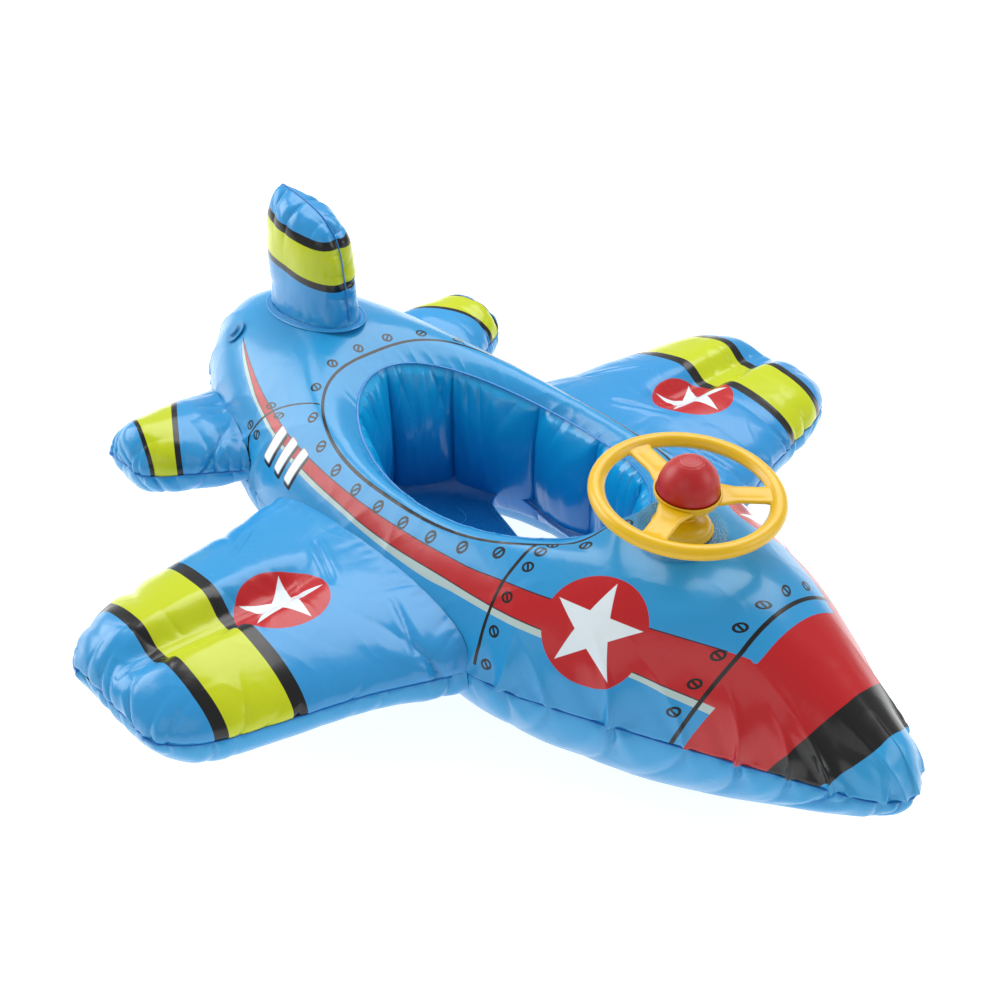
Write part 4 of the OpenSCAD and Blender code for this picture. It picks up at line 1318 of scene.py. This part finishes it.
base_profile = rounded([
    (6.0, 3.05), (24.2, 3.05), (24.5, 4.0), (24.3, 5.2), (22.6, 5.6), (22.2, 8.2), (20.4, 11.4), (17.2, 13.8),
    (12.6, 14.9), (9.5, 15.2), (8.6, 16.3), (6.0, 16.6), (6.0, 35.4), (0, 35.4)])
base_points, base_faces = lathe(np.concatenate([[(0.0, 3.05)], base_profile]))
base = make_piece("wheel_base_moulding", on_axis(base_points), base_faces, yellow_plastic, "airframe", {}, "wheel_base")
outward(base)


def horn_swirl(place):
    """Rings left by the mould on the top of the bulb, about its own axis."""
    moved = place.ask("ShaderNodeVectorMath", {"operation": "SUBTRACT"}, i0=place, i1=(0.1908, 0.0, 0.2385))
    x, y, _ = moved.split()
    radius = (x * x + y * y).root() * 1000
    warp = noise(place, 120, 2) * 3.0
    return ((radius + warp) * 2.6).wave() * 0.00009 * (1 - (radius / 19).low(1.0))


lift = np.linspace(0, math.pi / 2, 30)
bulb_profile = np.column_stack(
    [24.0 * np.cos(lift) ** 0.68, 41 + 24.0 * np.sin(lift) ** 1.05 + 2.6 * np.sin(lift) ** 9])
bulb_profile = np.concatenate([[(22.2, 38.2), (24.0, 38.2)], bulb_profile])
bulb_profile[-1, 0] = 0.0
inner = np.column_stack([22.2 * np.cos(lift) ** 0.7, 41 + 22.2 * np.sin(lift)])[::-1]
inner[0, 0] = 0.0
bulb_points, bulb_faces = lathe(np.concatenate([bulb_profile, inner]), 96, True)
red_rubber = finish_plastic("soft red vinyl", tint(176, 12, 18), 0.4, 0.00006, 0.05, swirl=horn_swirl)
bulb = make_piece("horn_bulb_dome", on_axis(bulb_points), bulb_faces, red_rubber, "horn", {}, "horn_bulb")
outward(bulb)
print("horn peak", round(float(on_axis(bulb_points)[:, 2].max()), 1), "mm")

# %% [markdown]
# ## Wheel pad and its ribs
#
# A thick clear disc is welded to the deck under the wheel, and its face has raised rings that grip the film.
# The disc itself is a lathe that follows the deck. The rings repeat, so Geometry Nodes make them: one circle is
# put on each point of a short line, scaled by its number, given a round section, and realized.


# %% Pad
def pad_under(x, y):
    station = WHEEL_X + x * math.cos(WHEEL_TILT)
    return (deck_z(station, y) - WHEEL_Z) / math.cos(WHEEL_TILT) + x * math.tan(WHEEL_TILT) + 0.25


around = np.linspace(0, FULL_TURN, 128, endpoint=False)
pad_rings = []
for radius in (12, 20, 28, 34, 36.6, 37):
    x, y = radius * np.cos(around), radius * np.sin(around)
    pad_rings.append(np.stack([x, y, pad_under(x, y)], axis=-1))
for radius, top in ((36.8, 1.8), (36.2, 2.35), (35, 2.4), (28, 2.4), (22, 2.5), (12, 2.5)):
    pad_rings.append(np.stack([radius * np.cos(around), radius * np.sin(around), top + 0 * around], axis=-1))
pad_grid = np.array([*pad_rings, pad_rings[0]])
pad_faces = [tuple(n % (12 * 128) for n in f) for f in grid_faces(13, 128, True, False)]
clear_vinyl = finish_plastic("clear vinyl", tint(110, 184, 226), 0.16, 0.00004, 0.2, alpha=0.22)
pad = make_piece("wheel_pad_disc", on_axis(pad_grid[:12].reshape(-1, 3)), pad_faces, clear_vinyl, "airframe", {},
                 "wheel_pad")
outward(pad)


def ring_tree():
    """Concentric round ribs: a circle at each point of a line, scaled by its number."""
    tree = bpy.data.node_groups.new("concentric ribs", "GeometryNodeTree")
    face = tree.interface
    sizes = {}
    for name, kind in (("Count", "Int"), ("Inner", "Float"), ("Step", "Float"), ("Thickness", "Float"),
                       ("Material", "Material")):
        sizes[name] = face.new_socket(name, in_out="INPUT", socket_type="NodeSocket" + kind).identifier
    face.new_socket("Geometry", in_out="OUTPUT", socket_type="NodeSocketGeometry")
    new, link = tree.nodes.new, tree.links.new
    start, line, points = new("NodeGroupInput"), new("GeometryNodeMeshLine"), new("GeometryNodeMeshToPoints")
    line.inputs["Offset"].default_value = (0, 0, 0)
    link(start.outputs["Count"], line.inputs["Count"])
    link(line.outputs["Mesh"], points.inputs["Mesh"])
    number, growth, size = new("GeometryNodeInputIndex"), new("ShaderNodeMath"), new("ShaderNodeCombineXYZ")
    growth.operation = "MULTIPLY_ADD"
    link(number.outputs["Index"], growth.inputs[0])
    link(start.outputs["Step"], growth.inputs[1])
    link(start.outputs["Inner"], growth.inputs[2])
    link(growth.outputs[0], size.inputs["X"])
    link(growth.outputs[0], size.inputs["Y"])
    size.inputs["Z"].default_value = 1.0
    circle, place = new("GeometryNodeCurvePrimitiveCircle"), new("GeometryNodeInstanceOnPoints")
    circle.inputs["Resolution"].default_value = 120
    circle.inputs["Radius"].default_value = 1.0
    link(points.outputs["Points"], place.inputs["Points"])
    link(circle.outputs["Curve"], place.inputs["Instance"])
    link(size.outputs["Vector"], place.inputs["Scale"])
    loose, section, sweep_node = new("GeometryNodeRealizeInstances"), new("GeometryNodeCurvePrimitiveCircle"), new(
        "GeometryNodeCurveToMesh")
    link(place.outputs["Instances"], loose.inputs["Geometry"])
    section.inputs["Resolution"].default_value = 8
    link(start.outputs["Thickness"], section.inputs["Radius"])
    link(loose.outputs["Geometry"], sweep_node.inputs["Curve"])
    link(section.outputs["Curve"], sweep_node.inputs["Profile Curve"])
    real, colour, end = new("GeometryNodeRealizeInstances"), new("GeometryNodeSetMaterial"), new("NodeGroupOutput")
    link(sweep_node.outputs["Mesh"], real.inputs["Geometry"])
    link(real.outputs["Geometry"], colour.inputs["Geometry"])
    link(start.outputs["Material"], colour.inputs["Material"])
    link(colour.outputs["Geometry"], end.inputs["Geometry"])
    return tree, sizes


tree, sizes = ring_tree()
maker = bpy.data.objects.new("rib maker", bpy.data.meshes.new("rib maker"))
bpy.context.scene.collection.objects.link(maker)
modifier = maker.modifiers.new("ribs", "NODES")
modifier.node_group = tree
for key, given in (("Count", 5), ("Inner", 0.0265), ("Step", 0.0021), ("Thickness", 0.0007), ("Material", clear_vinyl)):
    modifier[sizes[key]] = given
bpy.context.view_layer.update()
rib_mesh = bpy.data.meshes.new_from_object(maker.evaluated_get(bpy.context.evaluated_depsgraph_get()))
bpy.data.objects.remove(maker)
rib_points = np.array([tuple(v.co) for v in rib_mesh.vertices]) / MM + np.array([0, 0, 2.4])
rib_faces = [tuple(p.vertices) for p in rib_mesh.polygons]
ribs = make_piece("wheel_pad_ribs", on_axis(rib_points), rib_faces, clear_vinyl, "airframe", {}, ())
outward(ribs)

# %% [markdown]
# ## Hidden and small parts
#
# The valves, the webs inside the chambers, the washer, the screw and the reed keep their CAD shapes, and only
# get finishes. Their nodes are closed and crisp, which suits moulded and turned parts of this size.

# %% CAD node finishes
web_vinyl = finish_vinyl("web vinyl", plain(tint(214, 226, 232)), 0.3, 0.2, 0.6)
valve_vinyl = finish_plastic("valve vinyl", tint(74, 156, 212), 0.16, 0.00003, 0.6, alpha=0.92)
plated_steel = finish_plastic("zinc plated steel", tint(190, 190, 188), 0.3, 0.00002, 0.0, metal=1.0)
white_plastic = finish_plastic("white plastic", tint(224, 224, 218), 0.42, 0.00003, 0.1)
finishes = {"web": web_vinyl, "valve": valve_vinyl, "washer": plated_steel, "screw": plated_steel,
            "reed": white_plastic, "backing": yellow_plastic}
for name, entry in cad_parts.items():
    for word, material in finishes.items():
        if word in name:
            cad = bpy.data.objects[name]
            cad.data.materials.clear()
            cad.data.materials.append(material)
            print(name, "gets", material.name)

# %% [markdown]
# ## Seat sheet area
#
# The chambers are tight with air, and the seat is a sheet stretched between the welds. The cell below
# only works out the seat sheet's flat area, in square metres.

# %% Seat sheet area
flat_area * MM * MM
